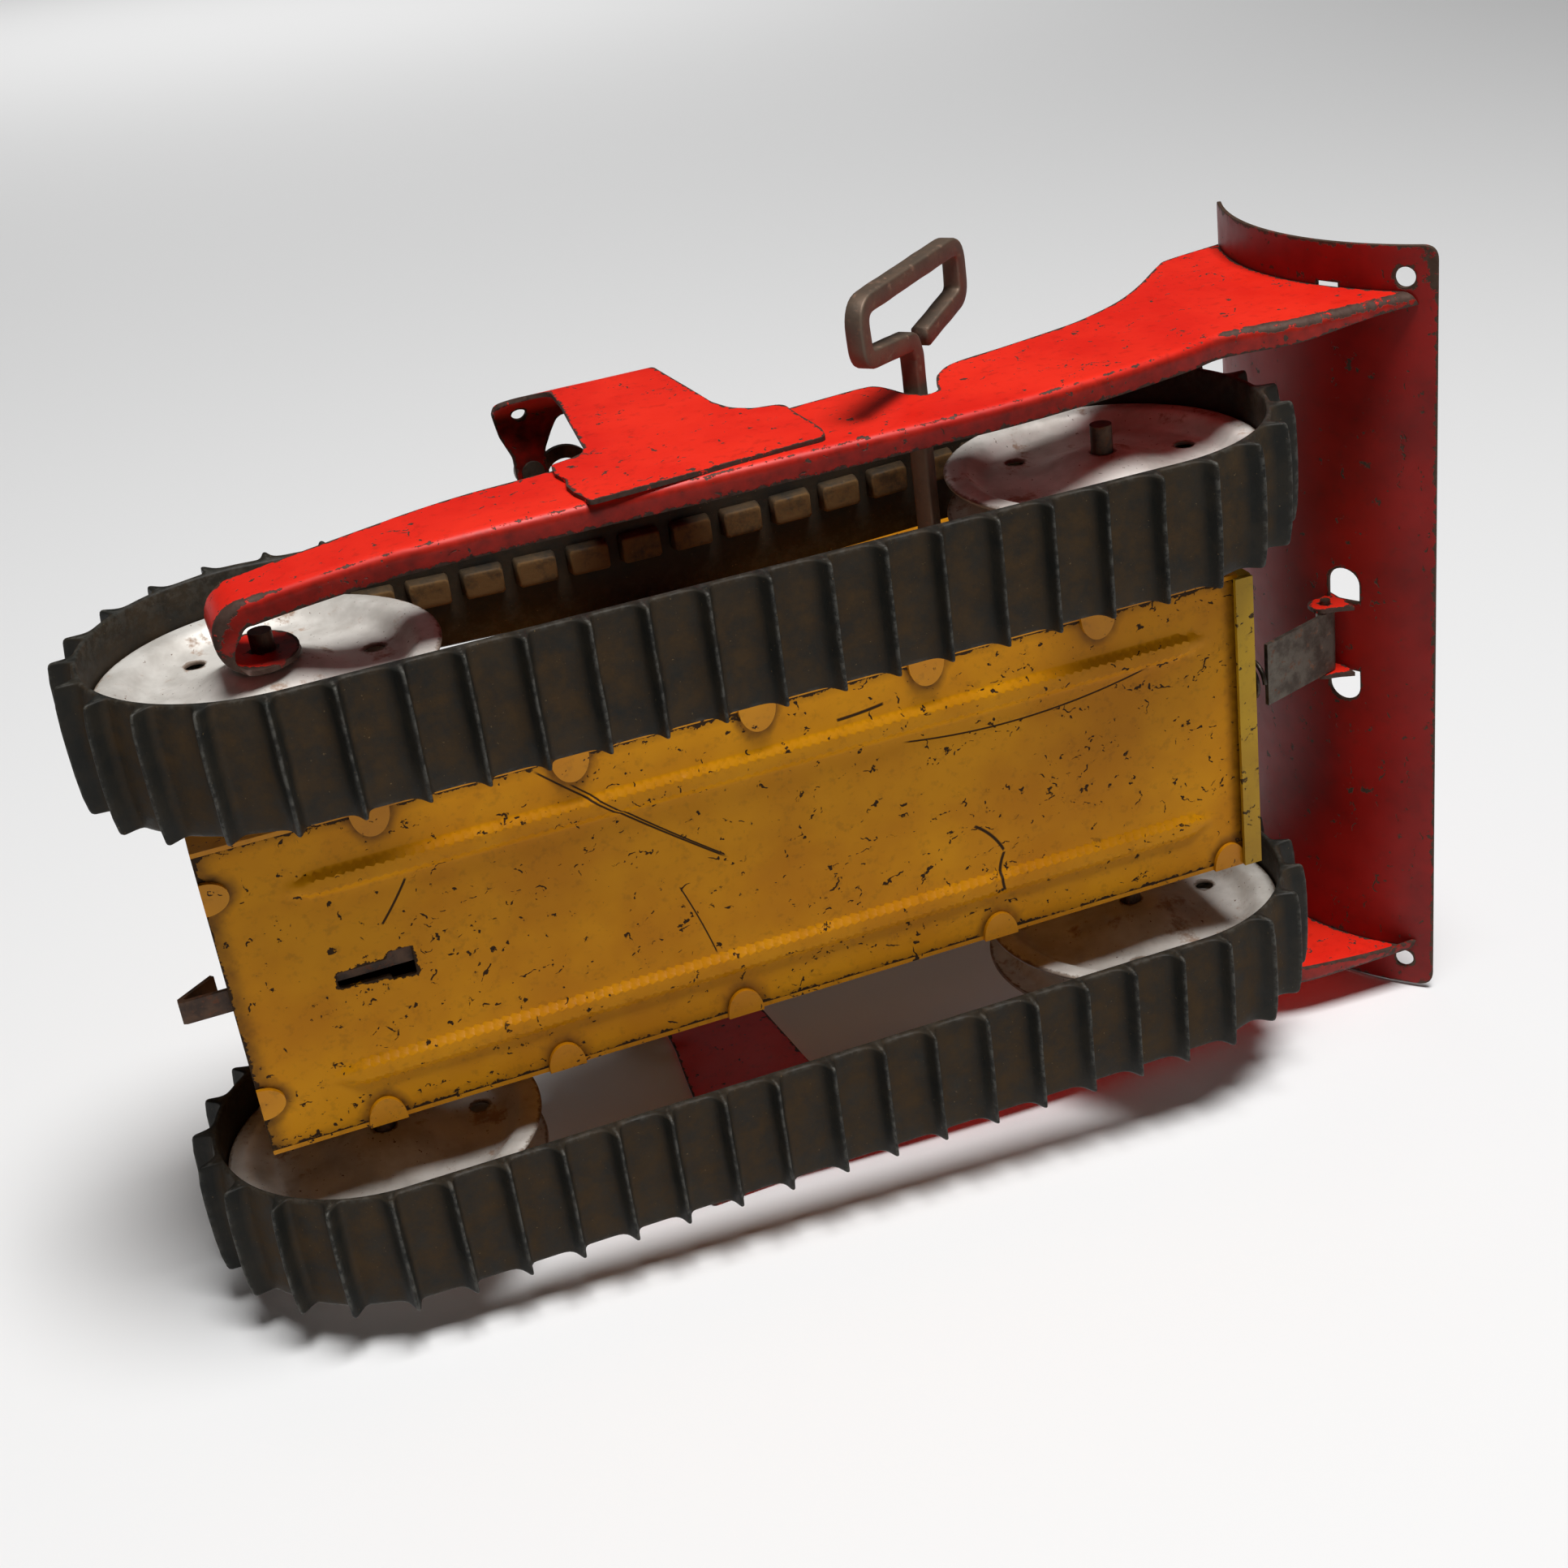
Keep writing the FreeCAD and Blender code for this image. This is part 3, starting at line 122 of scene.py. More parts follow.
class Finish:
    """A node material under construction, with short calls for the usual nodes."""

    def __init__(self, name):
        self.material = bpy.data.materials.new(name)
        self.material.use_nodes = True
        self.tree = self.material.node_tree
        self.shader = self.tree.nodes["Principled BSDF"]
        self.place = self.tree.nodes.new("ShaderNodeTexCoord").outputs["Object"]

    def node(self, kind, **settings):
        """Add a node with its settings."""
        item = self.tree.nodes.new(kind)
        for key, value in settings.items():
            setattr(item, key, value)
        return item

    def feed(self, socket, value):
        """Link an output into a socket, or set its value."""
        if isinstance(value, bpy.types.NodeSocket):
            self.tree.links.new(value, socket)
        elif value is not None:
            socket.default_value = value

    def math(self, operation, first, second=None, clamp=False):
        """Result of one number operation."""
        item = self.node("ShaderNodeMath", operation=operation, use_clamp=clamp)
        for socket, value in zip(item.inputs, (first, second)):
            self.feed(socket, value)
        return item.outputs[0]

    def times(self, first, second, clamp=False):
        """Product of two numbers."""
        return self.math("MULTIPLY", first, second, clamp)

    def most(self, first, second):
        """Greater of two numbers, which joins two masks."""
        return self.math("MAXIMUM", first, second)

    def vector(self, operation, first, second):
        """Result of one vector operation, a number for a dot product."""
        item = self.node("ShaderNodeVectorMath", operation=operation)
        for socket, value in zip(item.inputs, (first, second)):
            self.feed(socket, value)
        return item.outputs["Value" if operation == "DOT_PRODUCT" else "Vector"]

    def stretched(self, sizes, shift, turn=(0.0, 0.0, 0.0), source=None):
        """Position in units of sizes (mm, one per axis of a turned frame), moved by shift."""
        item = self.node("ShaderNodeMapping", vector_type="TEXTURE")
        self.feed(item.inputs["Vector"], source or self.place)
        self.feed(item.inputs["Scale"], tuple(s * MM for s in sizes))
        self.feed(item.inputs["Location"], tuple(s * MM * shift for s in (97.0, -61.0, 43.0)))
        self.feed(item.inputs["Rotation"], turn)
        return item.outputs["Vector"]

    def noise(self, size, detail, rough, shift):
        """Noise with features about size millimetres across; size may be one per axis."""
        sizes = size if isinstance(size, tuple) else (size,) * 3
        item = self.node("ShaderNodeTexNoise", normalize=True)
        self.feed(item.inputs["Vector"], self.stretched(sizes, shift))
        self.feed(item.inputs["Scale"], 1.0)
        self.feed(item.inputs["Detail"], detail)
        self.feed(item.inputs["Roughness"], rough)
        return item.outputs["Fac"]

    def step(self, value, low, high):
        """Smooth change from 0 at low to 1 at high."""
        item = self.node("ShaderNodeMapRange", interpolation_type="SMOOTHSTEP")
        self.feed(item.inputs["Value"], value)
        self.feed(item.inputs["From Min"], low)
        self.feed(item.inputs["From Max"], high)
        return item.outputs["Result"]

    def attribute(self, name):
        """Number stored on the mesh, 0 where the mesh has none."""
        return self.node("ShaderNodeAttribute", attribute_name=name).outputs["Fac"]

    def mix(self, share, first, second):
        """Colour between first and second."""
        item = self.node("ShaderNodeMix", data_type="RGBA")
        self.feed(item.inputs[0], share)
        self.feed(item.inputs[6], first)
        self.feed(item.inputs[7], second)
        return item.outputs[2]

    def blend(self, share, first, second):
        """Number between first and second."""
        item = self.node("ShaderNodeMix", data_type="FLOAT")
        self.feed(item.inputs[0], share)
        self.feed(item.inputs[2], first)
        self.feed(item.inputs[3], second)
        return item.outputs[0]

    def bump(self, height, depth_mm, strength, below=None):
        """Surface relief of a given depth, laid over another one below it."""
        item = self.node("ShaderNodeBump")
        self.feed(item.inputs["Strength"], strength)
        self.feed(item.inputs["Distance"], depth_mm * MM)
        self.feed(item.inputs["Height"], height)
        if below is not None:
            self.feed(item.inputs["Normal"], below)
        return item.outputs["Normal"]

    def finish(self, color, rough, metal=0.0, normal=None, specular=0.5):
        """Feed the shader and give the finished material."""
        self.feed(self.shader.inputs["Base Color"], color)
        self.feed(self.shader.inputs["Roughness"], rough)
        self.feed(self.shader.inputs["Metallic"], metal)
        self.feed(self.shader.inputs["Specular IOR Level"], specular)
        if normal is not None:
            self.feed(self.shader.inputs["Normal"], normal)
        return self.material


SWAY_SIZE, SWAY_REACH, CELL_SPREAD = 14.0, 6.0, 6.0
SCRATCH_SETS = [(9.0, 0.55, 0.3, 1.0), (6.0, 0.5, -0.75, 4.0), (4.0, 0.6, 1.35, 8.0),
                (14.0, 0.4, -0.2, 12.0)]


def strokes(f, length, width, turn, shift, share):
    """Mask of sparse short scratches: thin threads along the turned X axis, one per cell."""
    sway = f.node("ShaderNodeTexNoise", normalize=True)
    f.feed(sway.inputs["Vector"], f.stretched((SWAY_SIZE,) * 3, shift + 1.0))
    drift = f.vector("SUBTRACT", sway.outputs["Color"], (0.5, 0.5, 0.5))
    bent = f.vector("ADD", f.place, f.vector("MULTIPLY", drift, (SWAY_REACH * MM,) * 3))
    cells = f.node("ShaderNodeTexVoronoi", feature="F1", voronoi_dimensions="3D")
    sizes = (length * CELL_SPREAD, width * CELL_SPREAD, width * CELL_SPREAD)
    f.feed(cells.inputs["Vector"], f.stretched(sizes, shift, turn, bent))
    f.feed(cells.inputs["Scale"], 1.0)
    near = f.step(cells.outputs["Distance"], 0.115, 0.07)
    kept = f.step(f.math("FRACT", f.times(cells.outputs["Color"], 7.0)),
                  1.0 - share, 1.01 - share)
    return f.times(near, kept)


def line_mark(f, start, end, width, bow):
    """Mask of one long, slightly bowed scratch between two (x, y) places on a flat sheet."""
    (x0, y0), (x1, y1) = start, end
    length = math.hypot(x1 - x0, y1 - y0)
    ahead = ((x1 - x0) / length, (y1 - y0) / length, 0.0)
    side = (-ahead[1], ahead[0], 0.0)
    offset = f.vector("SUBTRACT", f.place, (x0 * MM, y0 * MM, 0.0))
    along = f.math("DIVIDE", f.vector("DOT_PRODUCT", offset, ahead), length * MM)
    across = f.math("DIVIDE", f.vector("DOT_PRODUCT", offset, side), MM)
    rise = f.times(along, f.math("SUBTRACT", 1.0, along))
    arch = f.times(rise, 4.0 * bow)
    gap = f.math("ABSOLUTE", f.math("SUBTRACT", across, arch))
    ends = f.times(f.step(along, 0.0, 0.04), f.step(along, 1.0, 0.94))
    thin = f.step(gap, width, 0.4 * width)
    return f.times(thin, ends)


def enamel(name, paint, deep, bare, dirt_and_shade_tone, chip_level, scratch_share, rough=0.36, plane="XY",
           marks_at=(), gloss=0.25):
    """Stoved enamel on steel: tone drift, soiling and painted shade, chips, scratches and worn
    edges.
    """
    f = Finish(name)
    drift = f.noise(38.0, 4.0, 0.6, 1.3)
    mottle = f.noise(2.2, 4.0, 0.65, 5.7)
    color = f.mix(f.step(drift, 0.35, 0.68), paint, deep)
    speck = f.times(f.step(mottle, 0.52, 0.72), 0.22)
    color = f.mix(speck, color, dirt_and_shade_tone)
    patchy = f.blend(f.noise(3.0, 3.0, 0.6, 9.0), 0.35, 1.15)
    # Per-point mask: real soiling on the floor sheet, and painted shade under the arms' folds,
    # on the bracket tabs and in the tabs' gaps, mixed to the dark tone
    grime_and_painted_shade = f.times(f.attribute("grime_and_painted_shade"), patchy, clamp=True)
    color = f.mix(grime_and_painted_shade, color, dirt_and_shade_tone)
    chips = f.step(f.noise(3.4, 5.0, 0.62, 2.2), chip_level, chip_level + 0.012)
    pits = f.step(f.noise(1.0, 3.0, 0.6, 7.9), 0.735, 0.75)
    marks = f.most(chips, pits)
    for length, width, angle, shift in SCRATCH_SETS:
        turn = {"XY": (0.0, 0.0, angle), "XZ": (0.0, angle, 0.0),
                "YZ": (angle, 0.0, math.pi / 2)}[plane]
        marks = f.most(marks, strokes(f, length, width, turn, shift, scratch_share))
    for start, end, width, bow in marks_at:
        marks = f.most(marks, line_mark(f, start, end, width, bow))
    ragged = f.blend(f.noise(2.6, 5.0, 0.7, 3.3), -0.55, 0.75)
    worn = f.step(f.math("ADD", f.attribute("wear"), ragged), 0.93, 1.0)
    marks = f.most(marks, worn)
    metal_tone = f.mix(f.noise(1.6, 4.0, 0.7, 6.1), bare, dirt_and_shade_tone)
    color = f.mix(marks, color, metal_tone)
    sheen = f.blend(f.noise(6.0, 3.0, 0.6, 2.9), rough - 0.08, rough + 0.16)
    roughness = f.blend(marks, sheen, 0.62)
    ripple = f.bump(f.noise(9.0, 2.0, 0.5, 0.4), 0.05, 0.6)
    relief = f.bump(f.times(marks, -1.0), 0.09, 0.9, ripple)
    return f.finish(color, roughness, f.times(marks, 0.35), relief, gloss)


def rusty_metal(name, light, dark, metal=0.5, rough=0.55):
    """Bare steel that has browned all over, with patches of rust."""
    f = Finish(name)
    patch = f.step(f.noise(5.0, 5.0, 0.65, 1.9), 0.38, 0.62)
    color = f.mix(patch, light, dark)
    rust = f.step(f.noise(2.4, 5.0, 0.7, 5.2), 0.56, 0.66)
    color = f.mix(f.times(rust, 0.75), color, srgb(104, 58, 30))
    glint = f.times(f.attribute("wear"), 0.5)
    color = f.mix(glint, color, srgb(132, 116, 100))
    roughness = f.blend(rust, rough, 0.82)
    grain = f.bump(f.noise(0.9, 5.0, 0.7, 3.0), 0.08, 0.8)
    return f.finish(color, roughness, f.blend(rust, metal, 0.05), grain)


def wheel_metal(name):
    """Tinned wheel disc gone satin, with rust specks and stains towards its rim."""
    f = Finish(name)
    color = f.mix(f.step(f.noise(11.0, 4.0, 0.6, 2.0), 0.35, 0.7), srgb(218, 214, 207),
                  srgb(186, 181, 173))
    stain = f.step(f.noise(10.0, 5.0, 0.7, 4.4), 0.56, 0.68)
    color = f.mix(f.times(stain, 0.75), color, srgb(140, 100, 66))
    ragged = f.blend(f.noise(2.2, 4.0, 0.7, 6.0), -0.4, 0.5)
    rim = f.step(f.math("ADD", f.attribute("wear"), ragged), 0.75, 1.0)
    color = f.mix(f.times(rim, 0.8), color, srgb(96, 70, 44))
    speck = f.step(f.noise(1.1, 4.0, 0.65, 8.0), 0.655, 0.70)
    color = f.mix(speck, color, srgb(88, 60, 40))
    dull = f.most(f.most(stain, speck), rim)
    roughness = f.blend(dull, f.blend(f.noise(4.0, 3.0, 0.6, 1.0), 0.42, 0.56), 0.78)
    relief = f.bump(f.noise(1.4, 4.0, 0.6, 2.0), 0.04, 0.6)
    return f.finish(color, roughness, f.blend(dull, 0.3, 0.08), relief)


def rubber(name, dust_tone):
    """Old moulded rubber: charcoal, brown dust in the hollows, chalky fin edges."""
    f = Finish(name)
    color = f.mix(f.step(f.noise(7.0, 4.0, 0.6, 1.0), 0.35, 0.7), srgb(30, 30, 27),
                  srgb(42, 38, 31))
    cloud = f.step(f.noise(6.0, 6.0, 0.72, 3.0), 0.22, 0.78)
    dust = f.times(f.attribute("dust"), cloud, clamp=True)
    color = f.mix(f.times(dust, 0.8), color, dust_tone)
    chalk = f.times(f.attribute("wear"),
                   f.step(f.noise(1.8, 4.0, 0.7, 5.0), 0.42, 0.62))
    color = f.mix(f.times(chalk, 0.6), color, srgb(96, 94, 88))
    grit = f.step(f.noise(0.8, 3.0, 0.6, 7.0), 0.70, 0.74)
    color = f.mix(f.times(grit, 0.6), color, srgb(126, 104, 72))
    roughness = f.blend(dust, f.blend(cloud, 0.46, 0.6), 0.85)
    relief = f.bump(f.noise(1.2, 5.0, 0.65, 2.0), 0.10, 0.8)
    return f.finish(color, roughness, 0.0, relief, 0.18)


def machined(name, light, dark, rough=0.35, metal=0.9):
    """Clean worked metal with a faint grain, for the clockwork."""
    f = Finish(name)
    color = f.mix(f.step(f.noise(6.0, 4.0, 0.6, 1.0), 0.3, 0.7), light, dark)
    color = f.mix(f.step(f.noise(1.2, 3.0, 0.6, 4.0), 0.66, 0.7), color, srgb(70, 56, 42))
    roughness = f.blend(f.noise(3.0, 3.0, 0.6, 2.0), rough - 0.07, rough + 0.14)
    relief = f.bump(f.noise((0.5, 6.0, 0.5), 3.0, 0.6, 3.0), 0.02, 0.5)
    return f.finish(color, roughness, metal, relief)


# Long scratches on the floor sheet: start, end, half width, bow.
LONG_SCRATCHES = [((-45.3, -33.9), (-7.9, -2.4), 0.3, 0.6),
                  ((-38.7, -29.2), (-8.3, -3.1), 0.26, 0.5),
                  ((-19.7, 0.8), (-13.8, 19.4), 0.22, -0.3),
                  ((32.5, -17.9), (91.4, -19.7), 0.28, 3.0),
                  ((18.9, -26.9), (29.9, -27.9), 0.5, 0.2),
                  ((47.0, 6.7), (53.6, 14.9), 0.5, -0.8),
                  ((53.6, 14.9), (52.4, 24.0), 0.5, 0.9),
                  ((-80.9, -9.5), (-74.1, -18.6), 0.35, 0.2)]
YELLOW = enamel("yellow_enamel", srgb(208, 138, 8), srgb(188, 118, 6), srgb(46, 38, 30),
                srgb(66, 42, 16), 0.675, 0.8)
# The floor sheet's yellow is a little lighter than the body's: painted light that makes up for
# the weaker light on the plate
LIT_PLATE_YELLOW = enamel("lit_plate_enamel", srgb(212, 142, 8), srgb(190, 120, 6), srgb(40, 34, 28),
                      srgb(66, 42, 16), 0.66, 0.9, marks_at=LONG_SCRATCHES, gloss=0.12)
LEMON = enamel("lemon_enamel", srgb(186, 146, 22), srgb(160, 120, 18), srgb(56, 46, 34),
               srgb(80, 58, 24), 0.62, 0.6)
RED = enamel("red_enamel", srgb(224, 42, 24), srgb(208, 30, 18), srgb(96, 78, 68),
             srgb(48, 20, 15), 0.66, 0.55, plane="XZ")
# Blade enamel: a deeper old red, darkened further as painted shade for the blade's back, which
# is turned from the light
SHADED_OLD_RED = enamel("shaded_old_red_enamel", srgb(150, 20, 13), srgb(112, 14, 10), srgb(92, 76, 62),
                 srgb(58, 30, 22), 0.655, 0.5, rough=0.42, plane="YZ")
RUBBER = rubber("track_rubber", srgb(78, 58, 34))
GUIDE_RUBBER = rubber("guide_rubber", srgb(106, 78, 44))
WHEEL = wheel_metal("wheel_steel")
RUSTY = rusty_metal("rusty_steel", srgb(86, 62, 46), srgb(56, 42, 34))
PLAIN = rusty_metal("plain_steel", srgb(104, 98, 88), srgb(74, 66, 58), 0.7, 0.42)
SPRING = rusty_metal("spring_steel", srgb(78, 70, 62), srgb(50, 44, 38), 0.75, 0.4)
BRASS = machined("motor_brass", srgb(196, 158, 84), srgb(160, 122, 60))
SLOT_FINISH = {"yellow_enamel": YELLOW, "lemon_enamel": LEMON, "red_enamel": RED,
               "track_rubber": RUBBER, "wheel_steel": WHEEL, "rusty_steel": RUSTY,
               "plain_steel": PLAIN, "spring_steel": SPRING, "motor_brass": BRASS}


# ---- mesh helpers
EDGE_WEAR = 3.0


def new_object(name, mesh, finish, body, replaces):
    """Link a mesh as a piece that rides on a body, with its finish and the nodes it replaces."""
    item = placed(name, mesh)
    mesh.materials.append(finish)
    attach(item, body)
    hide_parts(*replaces)
    return item


def mesh_from(name, points, faces, **attributes):
    """Smooth-shaded mesh from points in millimetres, with one number per point per attribute."""
    mesh = bpy.data.meshes.new(name)
    mesh.from_pydata([tuple(c * MM for c in p) for p in points], [], faces)
    for key, values in attributes.items():
        layer = mesh.attributes.new(key, "FLOAT", "POINT")
        layer.data.foreach_set("value", np.asarray(values, np.float32))
    mesh.shade_smooth()
    mesh.update()
    return mesh


def ring_faces(first, rings, count, closed=False):
    """Quads between successive rings of count points, the first ring starting at first."""
    faces = []
    for i in range(rings if closed else rings - 1):
        here, after = first + i * count, first + (i + 1) % rings * count
        for k in range(count):
            n = (k + 1) % count
            faces.append((here + k, here + n, after + n, after + k))
    return faces


def soften(item, width_mm):
    """Round the sharp edges of a piece and keep its flats flat."""
    bevel = item.modifiers.new("rounded_edges", "BEVEL")
    bevel.width = width_mm * MM
    bevel.segments = 2
    bevel.limit_method = "ANGLE"
    bevel.angle_limit = math.radians(35.0)
    bevel.use_clamp_overlap = True
    weighted = item.modifiers.new("flat_faces", "WEIGHTED_NORMAL")
    weighted.weight = 60
    weighted.keep_sharp = True


def curve_through(points, step):
    """Flat points along a smooth curve through the given ones, about step apart."""
    pts = [Vector(p) for p in points]
    padded = [pts[0] * 2 - pts[1]] + pts + [pts[-1] * 2 - pts[-2]]
    out = []
    for a, b, c, d in zip(padded, padded[1:], padded[2:], padded[3:]):
        count = max(1, int((c - b).length / step))
        for i in range(count):
            t = i / count
            out.append(0.5 * ((2 * b) + (c - a) * t + (2 * a - 5 * b + 4 * c - d) * t ** 2
                              + (3 * b - a - 3 * c + d) * t ** 3))
    return [tuple(p) for p in out + [pts[-1]]]


def resampled(loop, step):
    """Closed outline with points added so that no side is longer than step."""
    out = []
    for a, b in zip(loop, loop[1:] + loop[:1]):
        a, b = Vector(a[:2]), Vector(b[:2])
        count = max(1, math.ceil((b - a).length / step))
        out += [a.lerp(b, i / count) for i in range(count)]
    return out


def circle(u, v, radius, count):
    """Outline of a circle."""
    return [(u + radius * math.cos(2 * math.pi * i / count),
             v + radius * math.sin(2 * math.pi * i / count)) for i in range(count)]


def rounded(corners, radius, count):
    """Closed outline with each corner turned into an arc; radius may be one per corner."""
    radii = radius if isinstance(radius, (list, tuple)) else [radius] * len(corners)
    out = []
    for i, here in enumerate(corners):
        here = Vector(here)
        back = (Vector(corners[i - 1]) - here)
        ahead = (Vector(corners[(i + 1) % len(corners)]) - here)
        half = back.angle(ahead) / 2
        reach = min(radii[i] / math.tan(half), 0.48 * back.length, 0.48 * ahead.length)
        if reach < 0.05:
            out.append(tuple(here))
            continue
        start, end = here + back.normalized() * reach, here + ahead.normalized() * reach
        for k in range(count + 1):
            t = k / count
            out.append(tuple(start * (1 - t) ** 2 + here * (2 * t * (1 - t)) + end * t ** 2))
    return out


def inside_of(loop, points):
    """True for each point that lies within a closed outline."""
    p = np.asarray(points, float)
    hit = np.zeros(len(p), bool)
    q = np.asarray([tuple(v)[:2] for v in loop], float)
    for a, b in zip(q, np.roll(q, -1, axis=0)):
        cross = (a[1] > p[:, 1]) != (b[1] > p[:, 1])
        at = a[0] + (p[:, 1] - a[1]) * (b[0] - a[0]) / (b[1] - a[1] if b[1] != a[1] else 1e-12)
        hit ^= cross & (p[:, 0] < at)
    return hit


def gap_to(loop, points):
    """Distance from each point to a closed outline."""
    p = np.asarray(points, float)
    best = np.full(len(p), 1e9)
    q = np.asarray([tuple(v)[:2] for v in loop], float)
    for a, b in zip(q, np.roll(q, -1, axis=0)):
        run = b - a
        t = np.clip(((p - a) @ run) / max(run @ run, 1e-12), 0, 1)
        best = np.minimum(best, np.linalg.norm(p - a - t[:, None] * run, axis=1))
    return best


def sheet_mesh(name, outline, holes, place, edge_step, step=None, inner=None, extra=None):
    """Open surface cut to an outline with holes, then bent by place(u, v) into the frame.

    Its inner points are given, or fill a staggered grid of the given step. The wear attribute
    is 1 on every cut edge and falls to 0 over EDGE_WEAR; extra adds a rule per attribute.
    """
    loops = [resampled(list(loop), edge_step) for loop in [outline] + list(holes)]
    if inner is None:
        us, vs = zip(*loops[0])
        columns = int((max(us) - min(us)) / step) + 1
        rows = int((max(vs) - min(vs)) / step) + 1
        inner = [(min(us) + (i + (0.25 if j % 2 else 0.75)) * step, min(vs) + (j + 0.5) * step)
                 for j in range(rows) for i in range(columns)]
    inner = np.asarray(inner, float)
    clear = 0.42 * edge_step
    keep = inside_of(loops[0], inner) & (gap_to(loops[0], inner) > clear)
    for hole in loops[1:]:
        keep &= ~inside_of(hole, inner) & (gap_to(hole, inner) > clear)
    points, edges = [], []
    for loop in loops:
        first = len(points)
        points += [Vector(p[:2]) for p in loop]
        edges += [(first + i, first + (i + 1) % len(loop)) for i in range(len(loop))]
    points += [Vector(p) for p in inner[keep]]
    flat, _, faces, *_ = geometry.delaunay_2d_cdt(points, edges, [], 0, 1e-6)
    flat = np.asarray([tuple(p) for p in flat], float)
    middles = np.asarray([flat[list(f)].mean(0) for f in faces])
    good = inside_of(loops[0], middles)
    for hole in loops[1:]:
        good &= ~inside_of(hole, middles)
    faces = [tuple(f) for f, ok in zip(faces, good) if ok]
    away = np.min([gap_to(loop, flat) for loop in loops], axis=0)
    wear = np.clip(1.0 - away / EDGE_WEAR, 0.0, 1.0)
    solid = [place(u, v) for u, v in flat]
    attributes = {"wear": wear}
    for key, rule in (extra or {}).items():
        values = np.asarray([rule(u, v) for u, v in flat])
        attributes[key] = np.maximum(wear, values) if key == "wear" else values
    return mesh_from(name, solid, faces, **attributes)


def sheet_piece(name, mesh, finish, body, replaces, gauge, bevel):
    """Piece made of sheet: its face gets the gauge behind it and rounded cut edges."""
    item = new_object(name, mesh, finish, body, replaces)
    solid = item.modifiers.new("gauge", "SOLIDIFY")
    solid.thickness = gauge * MM
    solid.offset = -1.0
    solid.use_even_offset = True
    solid.use_quality_normals = True
    soften(item, bevel)


def ease(t):
    """Smooth change from 0 to 1."""
    t = min(1.0, max(0.0, t))
    return t * t * (3 - 2 * t)


# ---- shared places
GAUGE = 1.0
REAR, FRONT = centre_mm("rear_axle"), centre_mm("front_axle")
AXLE_Z = REAR.z
HALF_LENGTH, HALF_WIDTH = box_mm("base_plate")[1][:2]


# ---- tracks
FIN_COUNT, FIN_HEIGHT, BELT_GAUGE = 50, 4.5, 2.0
FIN_SHAPE = [(-4.3, 0.0), (-3.3, 0.1), (-2.4, 0.4), (-1.75, 0.95), (-1.25, 1.7), (-0.85, 2.7),
             (-0.55, 3.6), (-0.3, 4.25), (-0.05, 4.5), (0.2, 4.45), (0.38, 4.1), (0.55, 3.2),
             (0.8, 1.8), (1.1, 0.8), (1.6, 0.2), (2.2, 0.0)]
ACROSS = [-1.0, -0.975, -0.93, -0.7, -0.35, 0.0, 0.35, 0.7, 0.93, 0.975, 1.0]
INSIDE = [(1.0, 0.35), (0.965, 0.0), (0.35, 0.0), (-0.35, 0.0), (-0.965, 0.0), (-1.0, 0.35)]
GUIDE_HALF, GUIDE_WIDE, GUIDE_HIGH, GUIDE_CORNER = 4.7, 6.5, 3.2, 0.55
GUIDE_LEVELS = [(0.4, 0.0), (-1.2, 0.15), (-GUIDE_HIGH + 0.5, 0.35), (-GUIDE_HIGH + 0.12, 0.5),
                (-GUIDE_HIGH, 0.85), (-GUIDE_HIGH, 1.6)]
BEND_RUN, CROWN = 12.0, 0.9
SLACK = {-1: (1.7, -2.2), 1: (-0.4, -1.0)}


def oval_length(radius):
    """Length once round the belt's oval."""
    return 2 * (FRONT.x - REAR.x) + 2 * math.pi * radius


def oval_point(station, radius, height):
    """Point (x, z) on the belt's oval and how far round a wheel it is, from 0 to 1."""
    run, turn, reach = FRONT.x - REAR.x, math.pi * radius, radius + height
    station %= oval_length(radius)
    if station < run:
        return REAR.x + station, AXLE_Z - reach, 0.0
    station -= run
    if turn <= station < turn + run:
        return FRONT.x - (station - turn), AXLE_Z + reach, 0.0
    hub, start = FRONT, -math.pi / 2
    if station >= turn:
        hub, start = REAR, math.pi / 2
        station -= turn + run
    angle = start + station / radius
    bend = ease(min(station, turn - station) / BEND_RUN)
    return hub.x + reach * math.cos(angle), AXLE_Z + reach * math.sin(angle), bend


def hung(x, y, z, side):
    """A belt point, moved inwards and down where it is on the slack upper run."""
    if z < AXLE_Z or not REAR.x < x < FRONT.x:
        return (x, y, z)
    share = math.sin(math.pi * (x - REAR.x) / (FRONT.x - REAR.x))
    return (x, y + SLACK[side][0] * share, z + SLACK[side][1] * share)


